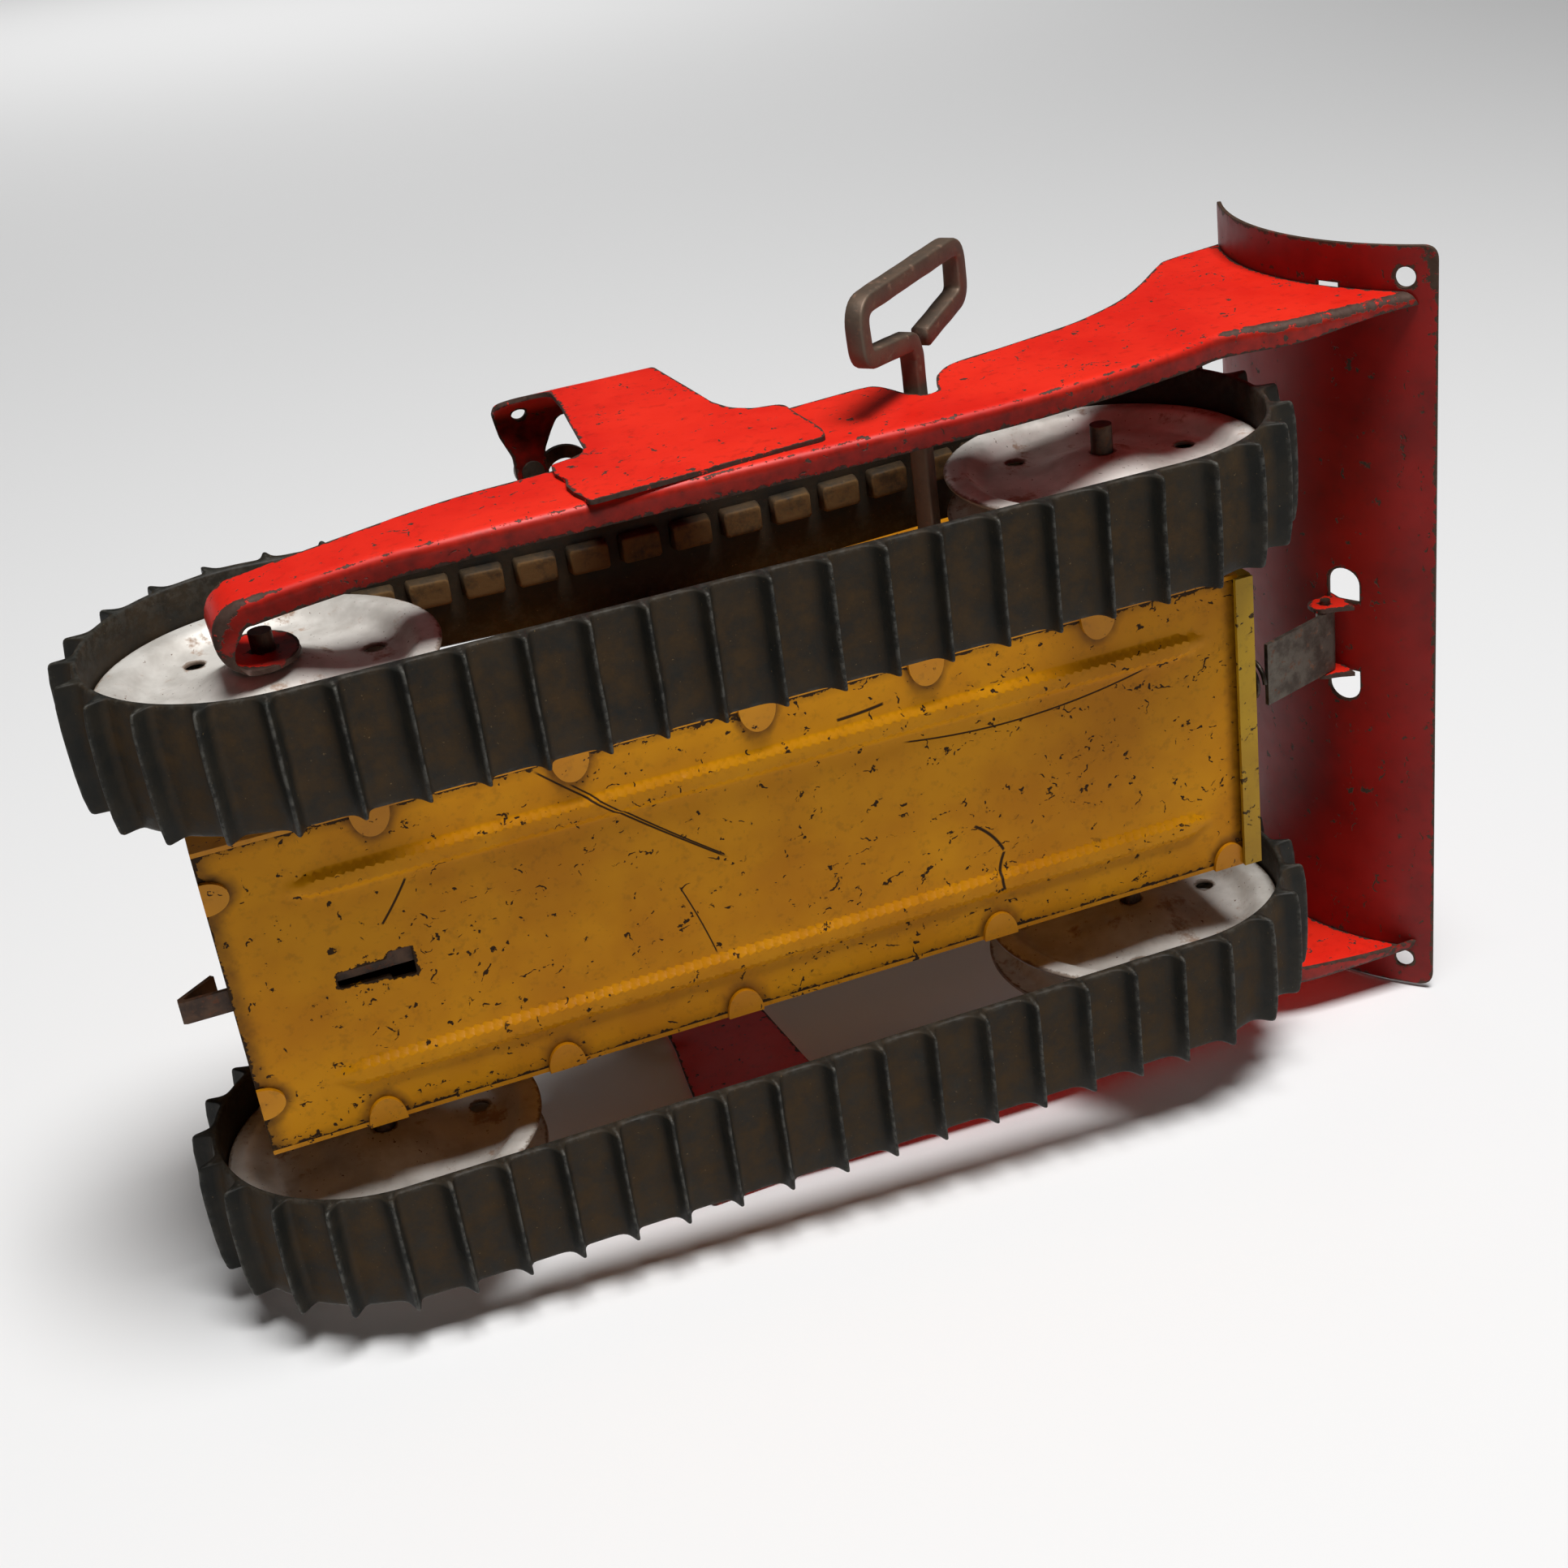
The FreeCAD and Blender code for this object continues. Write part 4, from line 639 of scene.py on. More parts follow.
def belt_band(side, node, first_fin, middle_y, half, outer):
    """The rubber band with its thorn-shaped fins."""
    step = oval_length(outer) / FIN_COUNT
    rng = random.Random(11 if side < 0 else 23)
    stations = []
    for index in range(FIN_COUNT):
        root = first_fin + index * step
        lean = rng.uniform(-0.12, 0.12)
        tall = rng.uniform(0.96, 1.0)
        stations += [(root + along + lean * h, h * tall) for along, h in FIN_SHAPE]
        gap_start, gap_end = FIN_SHAPE[-1][0], step + FIN_SHAPE[0][0]
        stations += [(root + gap_start + (gap_end - gap_start) * k / 4, 0.0) for k in (1, 2, 3)]
    points, dust, wear = [], [], []
    for station, height in stations:
        for share in ACROSS:
            end = abs(share)
            crown = -CROWN * oval_point(station, outer, 0.0)[2] * share ** 4
            cut = 0.45 if end == 1.0 else (0.1 if end > 0.97 else 0.0)
            rubbed = 0.35 if end > 0.97 else 0.0
            sway = 0.18 * noise.noise(Vector((station * 0.05, share * 1.3, side * 4.0)))
            top = height * (1.0 - 0.02 * end) - cut * (0.3 + 0.7 * height / FIN_HEIGHT)
            x, z, _ = oval_point(station + sway, outer, crown + top)
            points.append(hung(x, middle_y + half * share, z, side))
            dust.append(max(0.0, 1.0 - height / 1.6) * (1.0 - 0.55 * end ** 6))
            wear.append(ease((height - 3.9) / 0.5) if height > 0 else rubbed)
        for share, lift in INSIDE:
            x, z, _ = oval_point(station, outer, lift - BELT_GAUGE)
            points.append(hung(x, middle_y + half * share, z, side))
            dust.append(0.45 if abs(share) < 0.99 else 0.0)
            wear.append(0.0 if abs(share) < 0.9 else 0.3)
    faces = ring_faces(0, len(stations), len(ACROSS) + len(INSIDE), closed=True)
    new_object(node.split("_")[0] + "_belt_band",
               mesh_from("belt_band", points, faces, dust=dust, wear=wear),
               RUBBER, "tractor", [node])


def belt_guides(side, node, first_fin, middle_y, outer):
    """The row of guide blocks inside the belt, one between every two fins."""
    points, dust, faces = [], [], []
    middle = outer - BELT_GAUGE / 2
    shift = first_fin * oval_length(middle) / oval_length(outer)
    for index in range(FIN_COUNT):
        root = shift + (index + 0.5) * oval_length(middle) / FIN_COUNT
        first = len(points)
        for depth, draw in GUIDE_LEVELS:
            a, w = GUIDE_HALF - draw, GUIDE_WIDE / 2 - draw
            b, v = a - GUIDE_CORNER, w - GUIDE_CORNER
            loop = [(-a, -v), (-b, -w), (0.0, -w), (b, -w), (a, -v), (a, v), (b, w), (0.0, w),
                    (-b, w), (-a, v)]
            for along, wide in loop:
                x, z, _ = oval_point(root + along, middle, depth - BELT_GAUGE / 2)
                points.append(hung(x, middle_y + wide, z, side))
                dust.append(0.5 + 1.2 * ease((-depth - GUIDE_HIGH + 0.6) / 0.4))
        faces += ring_faces(first, len(GUIDE_LEVELS), len(loop))
        last = len(points)
        faces.append(tuple(range(last - len(loop), last)))
        faces.append(tuple(range(first + len(loop) - 1, first - 1, -1)))
    mesh = mesh_from("belt_guides", points, faces, dust=dust, wear=[0.0] * len(points))
    new_object(node.split("_")[0] + "_belt_guides", mesh, GUIDE_RUBBER, "tractor",
               [node])


for side, node, first_fin in ((-1, "right_track_belt", 8.67), (1, "left_track_belt", 7.67)):
    low, high = box_mm(node)
    middle_y, outer = (low.y + high.y) / 2, AXLE_Z - low.z - FIN_HEIGHT
    belt_band(side, node, first_fin, middle_y, (high.y - low.y) / 2, outer)
    belt_guides(side, node, first_fin, middle_y, outer)


# ---- wheel discs
DISC_RADIUS, DISC_GAUGE, DOME_HIGH = 34.5, 0.8, 0.9
DISC_KNOTS = [(0.0, DOME_HIGH), (3.2, DOME_HIGH), (18.2, -3.4), (25.5, -3.4), (30.6, 0.0),
              (33.4, 0.05), (DISC_RADIUS, -0.35)]
DISC_RINGS = [2.6, 4.0, 5.5, 7.0, 8.5, 10.0, 11.2, 12.4, 13.6, 15.0, 17.5, 20.0, 22.5, 25.0,
              26.5, 27.8, 29.0, 30.2, 31.4, 32.6, 33.4, 34.0]
HUB_HOLE, DISC_HOLE, HOLE_CIRCLE, HOLE_ANGLES = 2.42, 2.1, 21.5, (8.0, 128.0, 248.0)


def disc_depth(radius):
    """Depth of a disc's face: hub dome, flat floor, slope and rim."""
    for (r0, d0), (r1, d1) in zip(DISC_KNOTS, DISC_KNOTS[1:]):
        if radius <= r1:
            return d0 + (d1 - d0) * ease((radius - r0) / (r1 - r0))
    return DISC_KNOTS[-1][1]


def wheel_disc(node, axle):
    """Pressed disc with three round holes; an inner disc is dished the other way."""
    low, high = box_mm(node)
    outward = -1 if centre_mm(node).y < 0 else 1
    if "inner" in node:
        outward = -outward
    rim_face = high.y - DOME_HIGH if outward > 0 else low.y + DOME_HIGH
    inner = [p for r in DISC_RINGS for p in circle(0, 0, r, 72)]
    holes = [circle(0, 0, HUB_HOLE, 32)]
    for a in HOLE_ANGLES:
        holes.append(circle(HOLE_CIRCLE * math.cos(math.radians(a)),
                            HOLE_CIRCLE * math.sin(math.radians(a)), DISC_HOLE, 24))

    def place(u, v):
        return (axle.x + u, rim_face + outward * disc_depth(math.hypot(u, v)),
                axle.z - outward * v)

    def wear(u, v):
        return max(0.0, (math.hypot(u, v) - DISC_RADIUS + 3.0) / 3.0)

    mesh = sheet_mesh(node + "_face", circle(0, 0, DISC_RADIUS, 120), holes, place, 1.9,
                      inner=inner, extra={"wear": wear})
    sheet_piece(node + "_pressed", mesh, WHEEL, NODES[node]["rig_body"], [node],
                DISC_GAUGE, 0.2)


for end, axle in (("rear", REAR), ("front", FRONT)):
    for hand in ("right", "left"):
        for layer in ("outer", "inner"):
            wheel_disc("%s_%s_%s_disc" % (end, hand, layer), axle)


# ---- base plate
RIB_Y, RIB_HALF, RIB_DEPTH, RIB_START, RIB_END, RIB_FADE = 22.3, 2.9, 1.4, -99.5, 106.5, 9.0
LEFT_TABS = (-88.8, -50.0, -9.8, 50.7, 108.4)
RIGHT_TABS = (-78.2, -37.5, 2.3, 39.7, 79.3)
REAR_TABS = (-25.6, 22.8)
TAB_HALF, TAB_REACH = 4.0, 5.5
REAR_TAB_REACH, REAR_TAB_HALF = 5.2, 3.5
WALL_Y = HALF_WIDTH + GAUGE / 2
SLOT = [(-92.0, -1.7), (-90.6, -2.1), (-81.5, -2.2), (-81.0, -3.3), (-76.2, -3.4), (-76.2, 3.2),
        (-81.0, 3.1), (-81.6, 1.6), (-92.0, 1.5)]


def tab_gap(x, y):
    """Distance from a point on the plate to the outline of the nearest bent tab."""
    gaps = [abs(math.hypot((x - t) / TAB_HALF, (y - side * WALL_Y) / TAB_REACH) - 1.0) * 4.5
            for tabs, side in ((LEFT_TABS, 1), (RIGHT_TABS, -1)) for t in tabs]
    gaps += [abs(math.hypot((x + HALF_LENGTH) / REAR_TAB_REACH, (y - t) / REAR_TAB_HALF) - 1.0)
             * 4.2 for t in REAR_TABS]
    return min(gaps)


def base_plate():
    """Floor sheet with two pressed ribs, tab notches and the lever's slot."""
    corners = [(-HALF_LENGTH, -HALF_WIDTH), (HALF_LENGTH, -HALF_WIDTH),
               (HALF_LENGTH, HALF_WIDTH), (-HALF_LENGTH, HALF_WIDTH)]
    for y in REAR_TABS:
        start, end, deep = -y + REAR_TAB_HALF, -y - REAR_TAB_HALF, -HALF_LENGTH + GAUGE
        corners += [(-HALF_LENGTH, start), (deep, start), (deep, end), (-HALF_LENGTH, end)]

    def place(u, v):
        y = -v
        taper = ease((u - RIB_START) / RIB_FADE) * ease((RIB_END - u) / RIB_FADE)
        off = abs(abs(y) - RIB_Y) / (RIB_HALF * (0.35 + 0.65 * taper))
        rib = RIB_DEPTH * taper * ease((1.0 - off) / 0.5) if off < 1.0 else 0.0
        wave = 0.16 * noise.noise(Vector((u * 0.03, y * 0.05, 2.0)))
        edge = min(1.0, (HALF_WIDTH - abs(y)) / 6.0, (HALF_LENGTH - abs(u)) / 6.0)
        return (u, y, -rib + wave * max(0.0, edge))

    # Darker rings round the bent tabs: painted shadow in their gaps with real soiling; a painted
    # shadow of the lemon flange along the front lip; darker along the rear edge and the long
    # sides
    def grime_and_painted_shade(u, v):
        near_tab = max(0.0, 1.0 - tab_gap(u, -v) / 2.2)
        rear = ease((-u - 108.5) / 4.0)
        lip = ease((u - 108.6) / 2.4)
        side = 0.5 * ease((abs(v) - 32.6) / 2.0)
        return min(1.0, 1.25 * near_tab + 0.9 * rear + 0.8 * lip + side)

    def wear(u, v):
        crest = max(0.0, 1.0 - abs(abs(v) - RIB_Y - 1.3) / 1.6)
        return 0.70 * crest * ease((u + 99) / 12) * ease((106 - u) / 12)

    rows = [-HALF_WIDTH + 0.8 + 1.7 * k for k in range(60)]
    rows = [v for v in rows if v < HALF_WIDTH - 0.5 and abs(abs(v) - RIB_Y) > 3.6]
    rows += [side * (RIB_Y + 0.55 * k) for side in (-1, 1) for k in range(-6, 7)]
    inner = [(-HALF_LENGTH + 1.2 + 2.0 * k + (0.6 if i % 2 else 0.0), v)
             for i, v in enumerate(sorted(rows)) for k in range(113)]
    mesh = sheet_mesh("base_plate_face", corners, [rounded(SLOT, 0.6, 3)], place, 1.5,
                      inner=inner, extra={"grime_and_painted_shade": grime_and_painted_shade, "wear": wear})
    # The plate's enamel is lightened a little as painted light
    sheet_piece("base_plate_pressed", mesh, LIT_PLATE_YELLOW, "tractor",
                ["base_plate"], GAUGE, 0.2)


base_plate()


# ---- push arms
ARM_FACE, FOLD, FLANGE = 84.0, 2.2, 5.2
TURN_X = REAR.x - 1.5
ARM_FRONT, FLANGE_END, FOLD_END = 175.0, -114.0, -112.0
FOOT_Y, FOOT_RADIUS, FOOT_REACH = 63.5, 10.3, 8.0
UPPER_EDGE = [(-114.5, 31.0), (-109.0, 28.6), (-103.0, 26.2), (-90.9, 24.3), (-67.0, 24.0),
              (-38.0, 26.2), (-25.0, 27.3), (28.0, 31.9), (44.0, 33.7), (47.6, 32.6),
              (49.3, 28.6), (50.9, 23.6), (53.9, 20.4), (57.2, 21.8), (59.2, 27.6),
              (61.6, 31.8), (67.0, 36.2), (80.0, 39.2), (97.0, 43.4), (106.0, 47.2),
              (115.0, 52.4), (124.0, 60.0), (134.5, 71.0), (139.0, 74.2), (154.2, 77.6)]
LOWER_LINE = [(-114.5, 10.3), (-103.0, 9.9), (-90.9, 9.6), (-67.0, 7.2), (-38.0, 4.0),
              (48.0, 3.6), (83.0, 5.9), (108.0, 10.6), (119.0, 14.2), (130.0, 13.3),
              (139.0, 11.6), (170.0, 11.9)]
FOLD_ROWS = (-3.3, -2.4, -1.6, -1.1, -0.6, -0.1, 0.4, 0.9, 1.4, 1.9, 2.4)
BLADE_AXIS, BLADE_RADIUS = (207.1, 53.3), 58.1


def level(points, at):
    """Height of a run of points at a place along it."""
    for (x0, z0), (x1, z1) in zip(points, points[1:]):
        if at <= x1:
            return z0 + (z1 - z0) * max(0.0, (at - x0) / (x1 - x0))
    return points[-1][1]


ARM_TOP, ARM_LOW = curve_through(UPPER_EDGE, 1.0), curve_through(LOWER_LINE, 1.5)


def arm_course():
    """Plan curve (x, y) of the right arm's outer face, mirrored, from its front to its foot."""
    easing, pull = Vector((-38.0, ARM_FACE)), Vector((-62.0, ARM_FACE - 1.2))
    turn = Vector((TURN_X, ARM_FACE - 4.9))
    middle, radius = (turn.y + FOOT_Y) / 2, (turn.y - FOOT_Y) / 2
    course = [Vector((ARM_FRONT - 3.0 * k, ARM_FACE)) for k in range(72)]
    course = [p for p in course if p.x > easing.x + 1.0]
    for k in range(25):
        t = k / 24
        course.append(easing * ((1 - t) * (1 - 2 * t)) + pull * (4 * t * (1 - t))
                      + turn * (t * (2 * t - 1)))
    for k in range(1, 33):
        a = math.pi / 2 + math.pi * k / 32
        course.append(Vector((TURN_X + radius * math.cos(a), middle + radius * math.sin(a))))
    return course + [Vector((TURN_X + 1.0 * k, FOOT_Y)) for k in range(1, 12)]


COURSE = arm_course()
COURSE_U = [ARM_FRONT]
for one, two in zip(COURSE, COURSE[1:]):
    COURSE_U.append(COURSE_U[-1] - (two - one).length)


def on_course(u):
    """Point and inward unit vector of the arm's plan at a distance u along it."""
    for i in range(len(COURSE) - 1):
        if u >= COURSE_U[i + 1] or i == len(COURSE) - 2:
            t = (COURSE_U[i] - u) / (COURSE_U[i] - COURSE_U[i + 1])
            run = (COURSE[i + 1] - COURSE[i]).normalized()
            return COURSE[i].lerp(COURSE[i + 1], t), Vector((-run.y, run.x))
    return COURSE[-1], Vector((0.0, 1.0))


def fold_at(u):
    """Fold radius and flange reach, which both fade out before the pivot foot."""
    fade = ease((u - FOLD_END) / 14.0)
    front = 1.0 - 0.45 * ease((u - 128.0) / 34.0)
    return max(0.02, FOLD * fade), FLANGE * ease((u - FLANGE_END) / 14.0) * front


def red_piece(side, name, mesh, replaces, bevel):
    """Red sheet piece that moves with the blade; the left one is a mirrored face."""
    if side > 0:
        mesh.flip_normals()
    sheet_piece(name, mesh, RED, "blade_frame", replaces, GAUGE, bevel)


def push_arm(side, node):
    """One arm: web, rounded lower fold with its flange, U-bend and round pivot foot."""
    foot_u = COURSE_U[-1] + 0.2
    tip, under, front, inner = [], [], [], []
    for k in range(1, 16):
        a = math.pi / 2 + math.pi * k / 16
        tip.append((foot_u + FOOT_RADIUS + FOOT_REACH * math.cos(a),
                    AXLE_Z + FOOT_RADIUS * math.sin(a)))
    u = FLANGE_END
    while u < 166.0:
        fold, reach = fold_at(u)
        under.append((u, level(ARM_LOW, u) + fold - fold * math.pi / 2 - max(0.0, reach - fold)))
        u += 1.6
    for k in range(21):
        z = 14.5 + 3.0 * k
        across = math.sqrt((BLADE_RADIUS + 0.2) ** 2 - (z - BLADE_AXIS[1]) ** 2)
        front.append((BLADE_AXIS[0] - across, z))
    u = -123.0
    while u < 167.0:
        low, top = level(ARM_LOW, u), level(ARM_TOP, u) if u > FLANGE_END else 31.0
        inner += [(u, low + w) for w in FOLD_ROWS]
        w = 4.0
        while low + w < top:
            inner.append((u + (0.8 if int(w) % 2 else 0.0), low + w))
            w += 2.1
        u += 1.5 if u < -85 else 2.0

    def place(u, v):
        fold, _ = fold_at(u)
        low = level(ARM_LOW, u)
        down = low + fold - v
        if u < FOLD_END or down <= 0.0:
            z, draw = v, 0.0
        elif down < fold * math.pi / 2:
            z = low + fold - fold * math.sin(down / fold)
            draw = fold * (1.0 - math.cos(down / fold))
        else:
            z, draw = low, fold + down - fold * math.pi / 2
        spot, inward = on_course(u)
        spot = spot + inward * draw
        dent = 0.22 * noise.noise(Vector((u * 0.035, v * 0.05, 5.0 * side)))
        return (spot.x, side * (spot.y + (dent if u > -60 else 0.0)), z)

    def wear(u, v):
        fold, _ = fold_at(u)
        down = level(ARM_LOW, u) + fold - v
        on_fold = max(0.0, 1.0 - abs(down - fold * 0.6) / 2.4)
        rear = ease((-u - 82.0) / 16.0) * ease((u + 122.0) / 8.0)
        front_low = 0.5 * ease((u - 112.0) / 20.0) * ease((24.0 - v) / 10.0)
        return min(1.0, 0.86 * on_fold + 0.62 * rear + front_low)

    # Painted shade: darkens the underside of the lower fold and flange, turned from the light,
    # and the U-bend with its foot, which lie in the arm's shadow
    def grime_and_painted_shade(u, v):
        below = ease((level(ARM_LOW, u) - v + 1.0) / 1.6) if u > FOLD_END else 0.0
        return max(0.85 * below, ease((FLANGE_END - u) / 5.0))

    axle_u = COURSE_U[-1] + 11.0 - (REAR.x - TURN_X)
    mesh = sheet_mesh(node + "_face", under + front + ARM_TOP[::-1] + tip,
                      [circle(axle_u, AXLE_Z, 2.46, 28)], place, 1.4, inner=inner,
                      extra={"wear": wear, "grime_and_painted_shade": grime_and_painted_shade})
    red_piece(side, node + "_folded", mesh, [node], 0.25)


push_arm(-1, "right_push_arm")
push_arm(1, "left_push_arm")


# ---- lift brackets
SHOULDER, SHOULDER_Z = 8.0, 77.2


def lift_bracket(side, node):
    """Bracket riveted on the arm: web, round shoulder and pierced inward tab."""
    bend = SHOULDER * math.pi / 2
    tab = SHOULDER_Z + bend
    outline = rounded(
        [(-23.7, 2.6), (-3.0, 4.5), (16.4, 6.3), (26.7, 7.1), (27.6, 12.0), (27.5, 17.3),
         (26.9, 26.0), (26.7, 33.0), (20.6, 34.4), (16.7, 38.2), (14.8, 44.6), (13.4, 61.0),
         (11.9, 77.4), (10.4, tab - 5.0), (9.2, tab - 0.4), (-10.4, tab - 0.2),
         (-12.4, tab + 2.9), (-14.6, tab + 7.0), (-14.4, tab + 15.0), (-22.1, tab + 15.0),
         (-22.2, tab + 7.4), (-24.3, tab + 2.1), (-25.3, tab - 4.0), (-24.6, tab - 7.4),
         (-17.6, tab - 10.4), (-12.6, 77.6), (-13.0, 66.0), (-14.0, 56.5), (-16.2, 34.2),
         (-17.6, 31.4), (-20.4, 29.8), (-24.9, 28.4), (-25.5, 22.8), (-24.5, 18.2),
         (-25.4, 14.0), (-25.1, 9.6), (-24.2, 6.0)],
        [1.2, 9, 2, 2.2, 9, 9, 9, 3.2, 4.2, 7, 9, 9, 9, 5, 2.4, 3, 3, 4, 3.4, 3.4, 4, 4, 3, 3.2,
         4, 5, 9, 9, 4, 3, 3, 1.6, 2.2, 1.0, 1.8, 1.2, 0.9], 5)
    hole_v = SHOULDER_Z + SHOULDER * math.acos(2.9 / SHOULDER)
    holes = [circle(-19.2, hole_v, 1.7, 26), circle(-18.2, tab + 11.5, 1.55, 20)]

    def place(u, v):
        x = u
        if v <= SHOULDER_Z:
            y, z = ARM_FACE + GAUGE, v
        elif v <= tab:
            a = (v - SHOULDER_Z) / SHOULDER
            y = ARM_FACE + GAUGE - SHOULDER * (1 - math.cos(a))
            z = SHOULDER_Z + SHOULDER * math.sin(a)
        else:
            y, z = ARM_FACE + GAUGE - SHOULDER - (v - tab), SHOULDER_Z + SHOULDER
        dent = 0.15 * noise.noise(Vector((u * 0.06, v * 0.06, 9.0 * side)))
        return (x, side * (y - abs(dent) * ease((v - 12.0) / 10.0)), z)

    def wear(u, v):
        on_bend = max(0.0, 1.0 - abs(v - SHOULDER_Z - 5.0) / 6.0) * ease((2.0 - u) / 20.0)
        rear = ease((-u - 10.0) / 5.0) * ease((v - 48.0) / 8.0) * ease((72 - v) / 10.0)
        return min(1.0, 0.55 * on_bend + 0.5 * rear)

    # Painted shade: darkens the inward tab nearly to black, as it lies in shade under the
    # shoulder
    def grime_and_painted_shade(u, v):
        return ease((v - tab + 5.0) / 3.0)

    mesh = sheet_mesh(node + "_face", outline, holes, place, 1.0, step=1.9,
                      extra={"wear": wear, "grime_and_painted_shade": grime_and_painted_shade})
    red_piece(side, node + "_folded", mesh, [node], 0.22)


lift_bracket(-1, "right_lift_bracket")
lift_bracket(1, "left_lift_bracket")


# ---- blade
BLADE_HALF = box_mm("blade")[1].y
PIN = centre_mm("link_pin")
EAR_Y = 9.0


def arc_at(z):
    """Distance along the blade's arc at a height, 0 at the height of its axis."""
    return BLADE_RADIUS * math.asin((z - BLADE_AXIS[1]) / BLADE_RADIUS)


def blade_sheet():
    """Curved mouldboard with corner holes, two D-shaped openings and two narrow slots."""
    low, top = arc_at(9.3), arc_at(80.7)
    corners = [(-BLADE_HALF, low), (BLADE_HALF, low), (BLADE_HALF, top), (-BLADE_HALF, top)]
    holes = []
    for side in (-1, 1):
        holes.append(circle(side * 87.0, arc_at(14.2), 2.25, 32))
        flat, centre, half, mid = side * EAR_Y, side * 13.2, 4.1, arc_at(26.5)
        curve = [(centre + side * 3.75 * math.sin(math.pi * k / 14),
                  mid - half * math.cos(math.pi * k / 14)) for k in range(15)]
        holes.append([(flat, mid + half), (flat, mid - half)] + curve)
        (near, far), base, tip = sorted((side * 83.6, side * 84.9)), arc_at(27.0), arc_at(32.0)
        holes.append([(near, base), (far, base), (far, tip), (near, tip)])

    def place(u, v):
        a = v / BLADE_RADIUS
        dent = 0.3 * noise.noise(Vector((u * 0.02, v * 0.03, 1.0)))
        edge = min(1.0, (BLADE_HALF - abs(u)) / 12.0)
        reach = BLADE_RADIUS - abs(dent) * edge
        return (BLADE_AXIS[0] - reach * math.cos(a), -u, BLADE_AXIS[1] + reach * math.sin(a))

    def wear(u, v):
        return min(1.0, 0.35 * ease((u - 78.0) / 10.0) + 0.62 * ease((low + 7.0 - v) / 6.0))

    mesh = sheet_mesh("blade_face", rounded(corners, 3.5, 8), holes, place, 1.5, step=2.6,
                      extra={"wear": wear})
    # The blade's enamel carries painted shade
    sheet_piece("blade_curved", mesh, SHADED_OLD_RED, "blade_frame", ["blade"], GAUGE, 0.2)


def blade_ear(side, hand):
    """Small plate on the blade's back that carries one end of the link pin."""
    x, z = PIN.x, PIN.z
    outline = rounded([(x + 4.6, z - 5.4), (x + 4.6, z + 5.4), (x + 1.6, z + 3.9),
                       (x - 3.6, z + 3.2), (x - 3.9, z - 2.6), (x + 1.2, z - 3.9)],
                      [0.1, 0.1, 3, 3.4, 3.4, 3], 5)
    mesh = sheet_mesh("blade_ear_%s_face" % hand, outline, [circle(x, z, 1.25, 20)],
                      lambda u, v: (u, side * EAR_Y, v), 0.8, step=1.2)
    red_piece(side, "blade_ear_" + hand, mesh, ["blade"], 0.2)


blade_sheet()
blade_ear(-1, "right")
blade_ear(1, "left")


# ---- winding key
KEY_HALF, KEY_TILT = 2.0, 42.0
KEY_SECTION = [(1, -0.72), (1, 0.72), (0.93, 0.93), (0.72, 1), (-0.72, 1), (-0.93, 0.93),
               (-1, 0.72), (-1, -0.72), (-0.93, -0.93), (-0.72, -1), (0.72, -1), (0.93, -0.93)]


def swept_bar(name, course, half, section, up):
    """Mesh swept along a course of points with a fixed upward direction for its section."""
    points, wear, count = [], [], len(section)
    for before, here, after in zip(course[:1] + course, course, course[1:] + course[-1:]):
        across = (after - before).normalized().cross(up).normalized()
        swell = 1.0 + 0.03 * noise.noise(here * 0.2)
        for a, b in section:
            points.append(here + across * (a * half * swell) + up * (b * half * swell))
            wear.append(min(1.0, max(0.0, (math.hypot(a, b) - 1.08) / 0.2)))
    faces = ring_faces(0, len(course), count)
    faces.append(tuple(range(count - 1, -1, -1)))
    faces.append(tuple(range(len(points) - count, len(points))))
    return mesh_from(name, points, faces, wear=wear)


def filleted(path, radii, step):
    """Points along a bent path with a round corner at each inner point."""
    out = [Vector(path[0])]
    for before, here, after, radius in zip(path, path[1:], path[2:], radii):
        before, here, after = Vector(before), Vector(here), Vector(after)
        back, ahead = (before - here).normalized(), (after - here).normalized()
        reach = radius / math.tan(back.angle(ahead) / 2)
        reach = min(reach, 0.49 * (before - here).length, 0.49 * (after - here).length)
        start, end = here + back * reach, here + ahead * reach
        out += [start * (1 - t) ** 2 + here * (2 * t * (1 - t)) + end * t * t
                for t in (k / 8 for k in range(9))]
    out.append(Vector(path[-1]))
    dense = [out[0]]
    for a, b in zip(out, out[1:]):
        if (b - a).length < 1e-3:
            continue
        count = max(1, int((b - a).length / step))
        dense += [a.lerp(b, k / count) for k in range(1, count + 1)]
    return dense


def winding_key():
    """Key bent from one square bar, with rounded edges and an open rounded bow."""
    low, high = box_mm("winding_key")
    tilt = math.radians(KEY_TILT)
    along = Vector((math.cos(tilt), 0.0, math.sin(tilt)))
    normal = along.cross(Vector((0.0, 1.0, 0.0))).normalized()
    stem, bow = centre_mm("winding_arbor"), low.y + KEY_HALF
    path = [(0.0, high.y), (0.0, -91.0), (-1.4, -94.6), (-21.8, -96.9), (-22.6, bow),
            (23.8, bow), (23.6, -96.9), (4.9, -93.4)]
    bent = filleted([(u, y, 0.0) for u, y in path], [3.0, 2.4, 3.6, 4.6, 4.6, 3.6], 0.9)
    course = [Vector((stem.x, p.y, stem.z)) + along * p.x for p in bent]
    new_object("key_bent", swept_bar("key_bar", course, KEY_HALF, KEY_SECTION, normal), RUSTY,
               "winder", ["winding_key"])


winding_key()


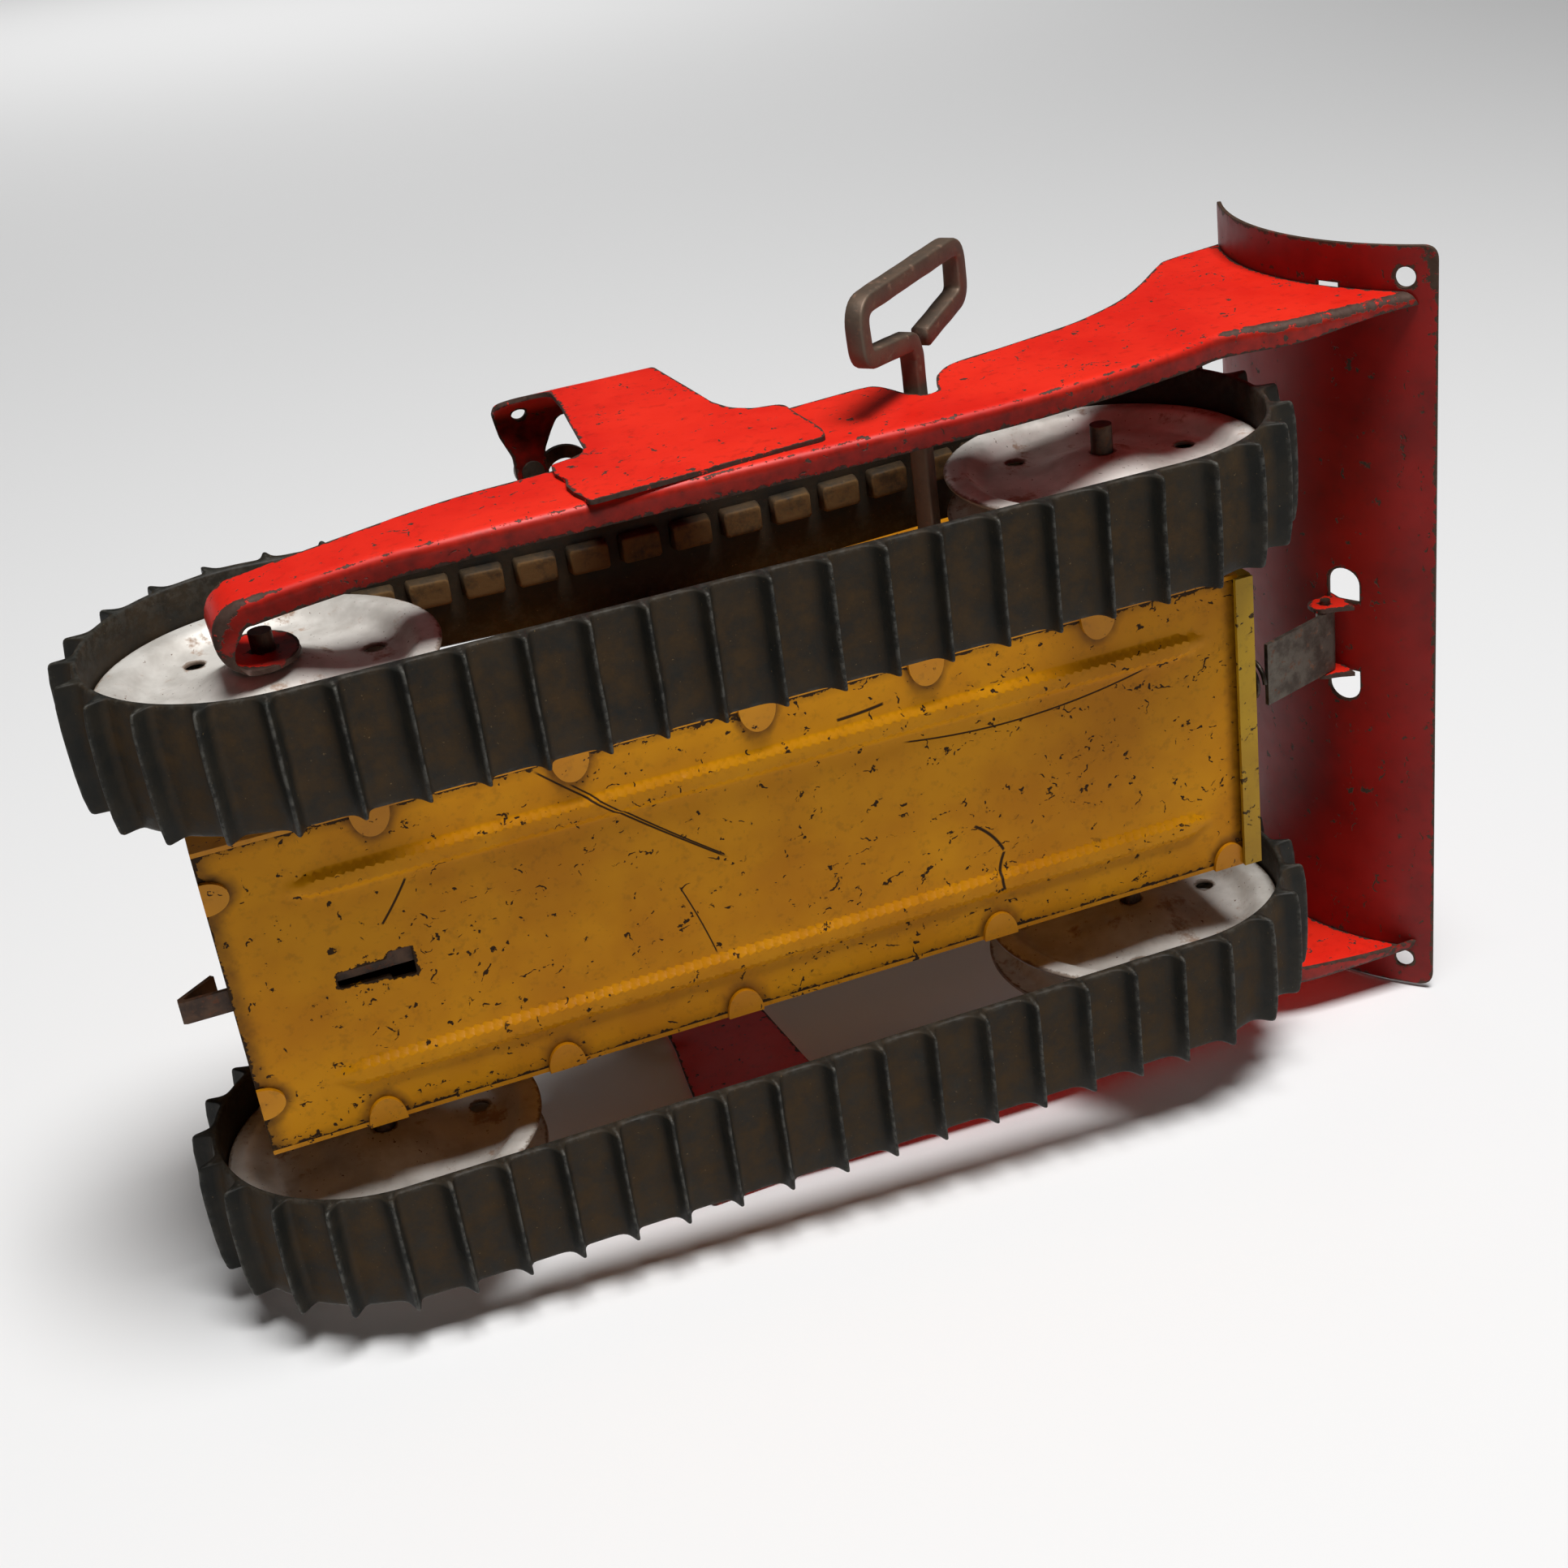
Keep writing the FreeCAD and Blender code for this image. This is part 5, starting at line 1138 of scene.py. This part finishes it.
# ---- carried-over CAD nodes
SLOT_OF = {row["node"]: row["material_slot"] for row in frame["record"]["subparts"]}
SOFTENED = {"body_shell": 0.35, "front_grille": 0.3, "driver_seat": 1.2, "tie_bar": 0.25,
            "centre_link": 0.2, "stop_lever": 0.22, "link_pin": 0.25, "tie_bar_rivets": 0.4,
            "front_axle": 0.35, "rear_axle": 0.35, "spring_rivet": 0.3,
            "rear_axle_washers": 0.15, "winding_arbor": 0.2}
for node, item in NODES.items():
    if item.hide_render:
        continue
    finish = SLOT_FINISH[SLOT_OF[node]]
    item.data.materials.clear()
    item.data.materials.append(finish)
    if node in SOFTENED:
        soften(item, SOFTENED[node])


# ---- stage and light
STAGE_GREY = (0.80, 0.80, 0.80, 1.0)
WORLD_STRENGTH = 0.03


def stage_paper():
    """Plain matt paper that is clear from behind."""
    f = Finish("paper")
    f.finish(STAGE_GREY, 0.9, specular=0.2)
    clear = f.node("ShaderNodeBsdfTransparent")
    facing = f.node("ShaderNodeNewGeometry")
    blend = f.node("ShaderNodeMixShader")
    f.feed(blend.inputs[0], facing.outputs["Backfacing"])
    f.feed(blend.inputs[1], f.shader.outputs[0])
    f.feed(blend.inputs[2], clear.outputs[0])
    f.feed(f.tree.nodes["Material Output"].inputs["Surface"], blend.outputs[0])
    return f.material


def stage_plane(name, centre, normal, half, material):
    """Large flat sheet that faces along its normal."""
    normal = Vector(normal).normalized()
    side = normal.orthogonal().normalized()
    other = normal.cross(side)
    mesh = bpy.data.meshes.new(name)
    corners = [Vector(centre) + side * a * half + other * b * half
               for a, b in ((-1, -1), (1, -1), (1, 1), (-1, 1))]
    mesh.from_pydata([c * MM for c in corners], [], [(0, 1, 2, 3)])
    mesh.materials.append(material)
    item = placed(name, mesh)
    return item


PAPER = stage_paper()
floor = stage_plane("photo_floor", (152.0, 94.3, 45.0), (0.0514, -1.0, 0.0), 4000.0, PAPER)
floor.visible_shadow = False
ground = stage_plane("ground", (0.0, 0.0, box_mm("right_track_belt")[0].z - 0.1), (0, 0, 1),
                     3000.0, PAPER)
for flag in ("visible_diffuse", "visible_glossy", "visible_transmission", "visible_shadow"):
    setattr(ground, flag, False)


def area_light(name, spot, target, width, height, power, spread=180.0):
    """Soft rectangular lamp aimed at a point, places in millimetres."""
    data = bpy.data.lights.new(name, "AREA")
    data.shape = "RECTANGLE"
    data.size, data.size_y = width * MM, height * MM
    data.energy = power
    data.spread = math.radians(spread)
    lamp = placed(name, data)
    lamp.location = Vector(spot) * MM
    aim = (Vector(target) - Vector(spot)).normalized()
    lamp.rotation_mode = "QUATERNION"
    lamp.rotation_quaternion = aim.to_track_quat("-Z", "Y")


area_light("key_light", (200.0, -1800.0, -400.0), (10.0, 0.0, 30.0), 760.0, 680.0, 44.0)
area_light("backdrop_light", (200.0, -1900.0, 2600.0), (200.0, 94.0, 2300.0), 1800.0, 900.0,
           11.5, spread=90.0)
area_light("left_fill", (-350.0, 1600.0, 1000.0), (10.0, 0.0, 20.0), 1200.0, 900.0, 6.0)
world = bpy.data.worlds.new("studio")
world.use_nodes = True
background = world.node_tree.nodes["Background"]
background.inputs["Color"].default_value = (1.0, 1.0, 1.0, 1.0)
background.inputs["Strength"].default_value = WORLD_STRENGTH
bpy.context.scene.world = world
bpy.context.scene.view_settings.view_transform = "Standard"
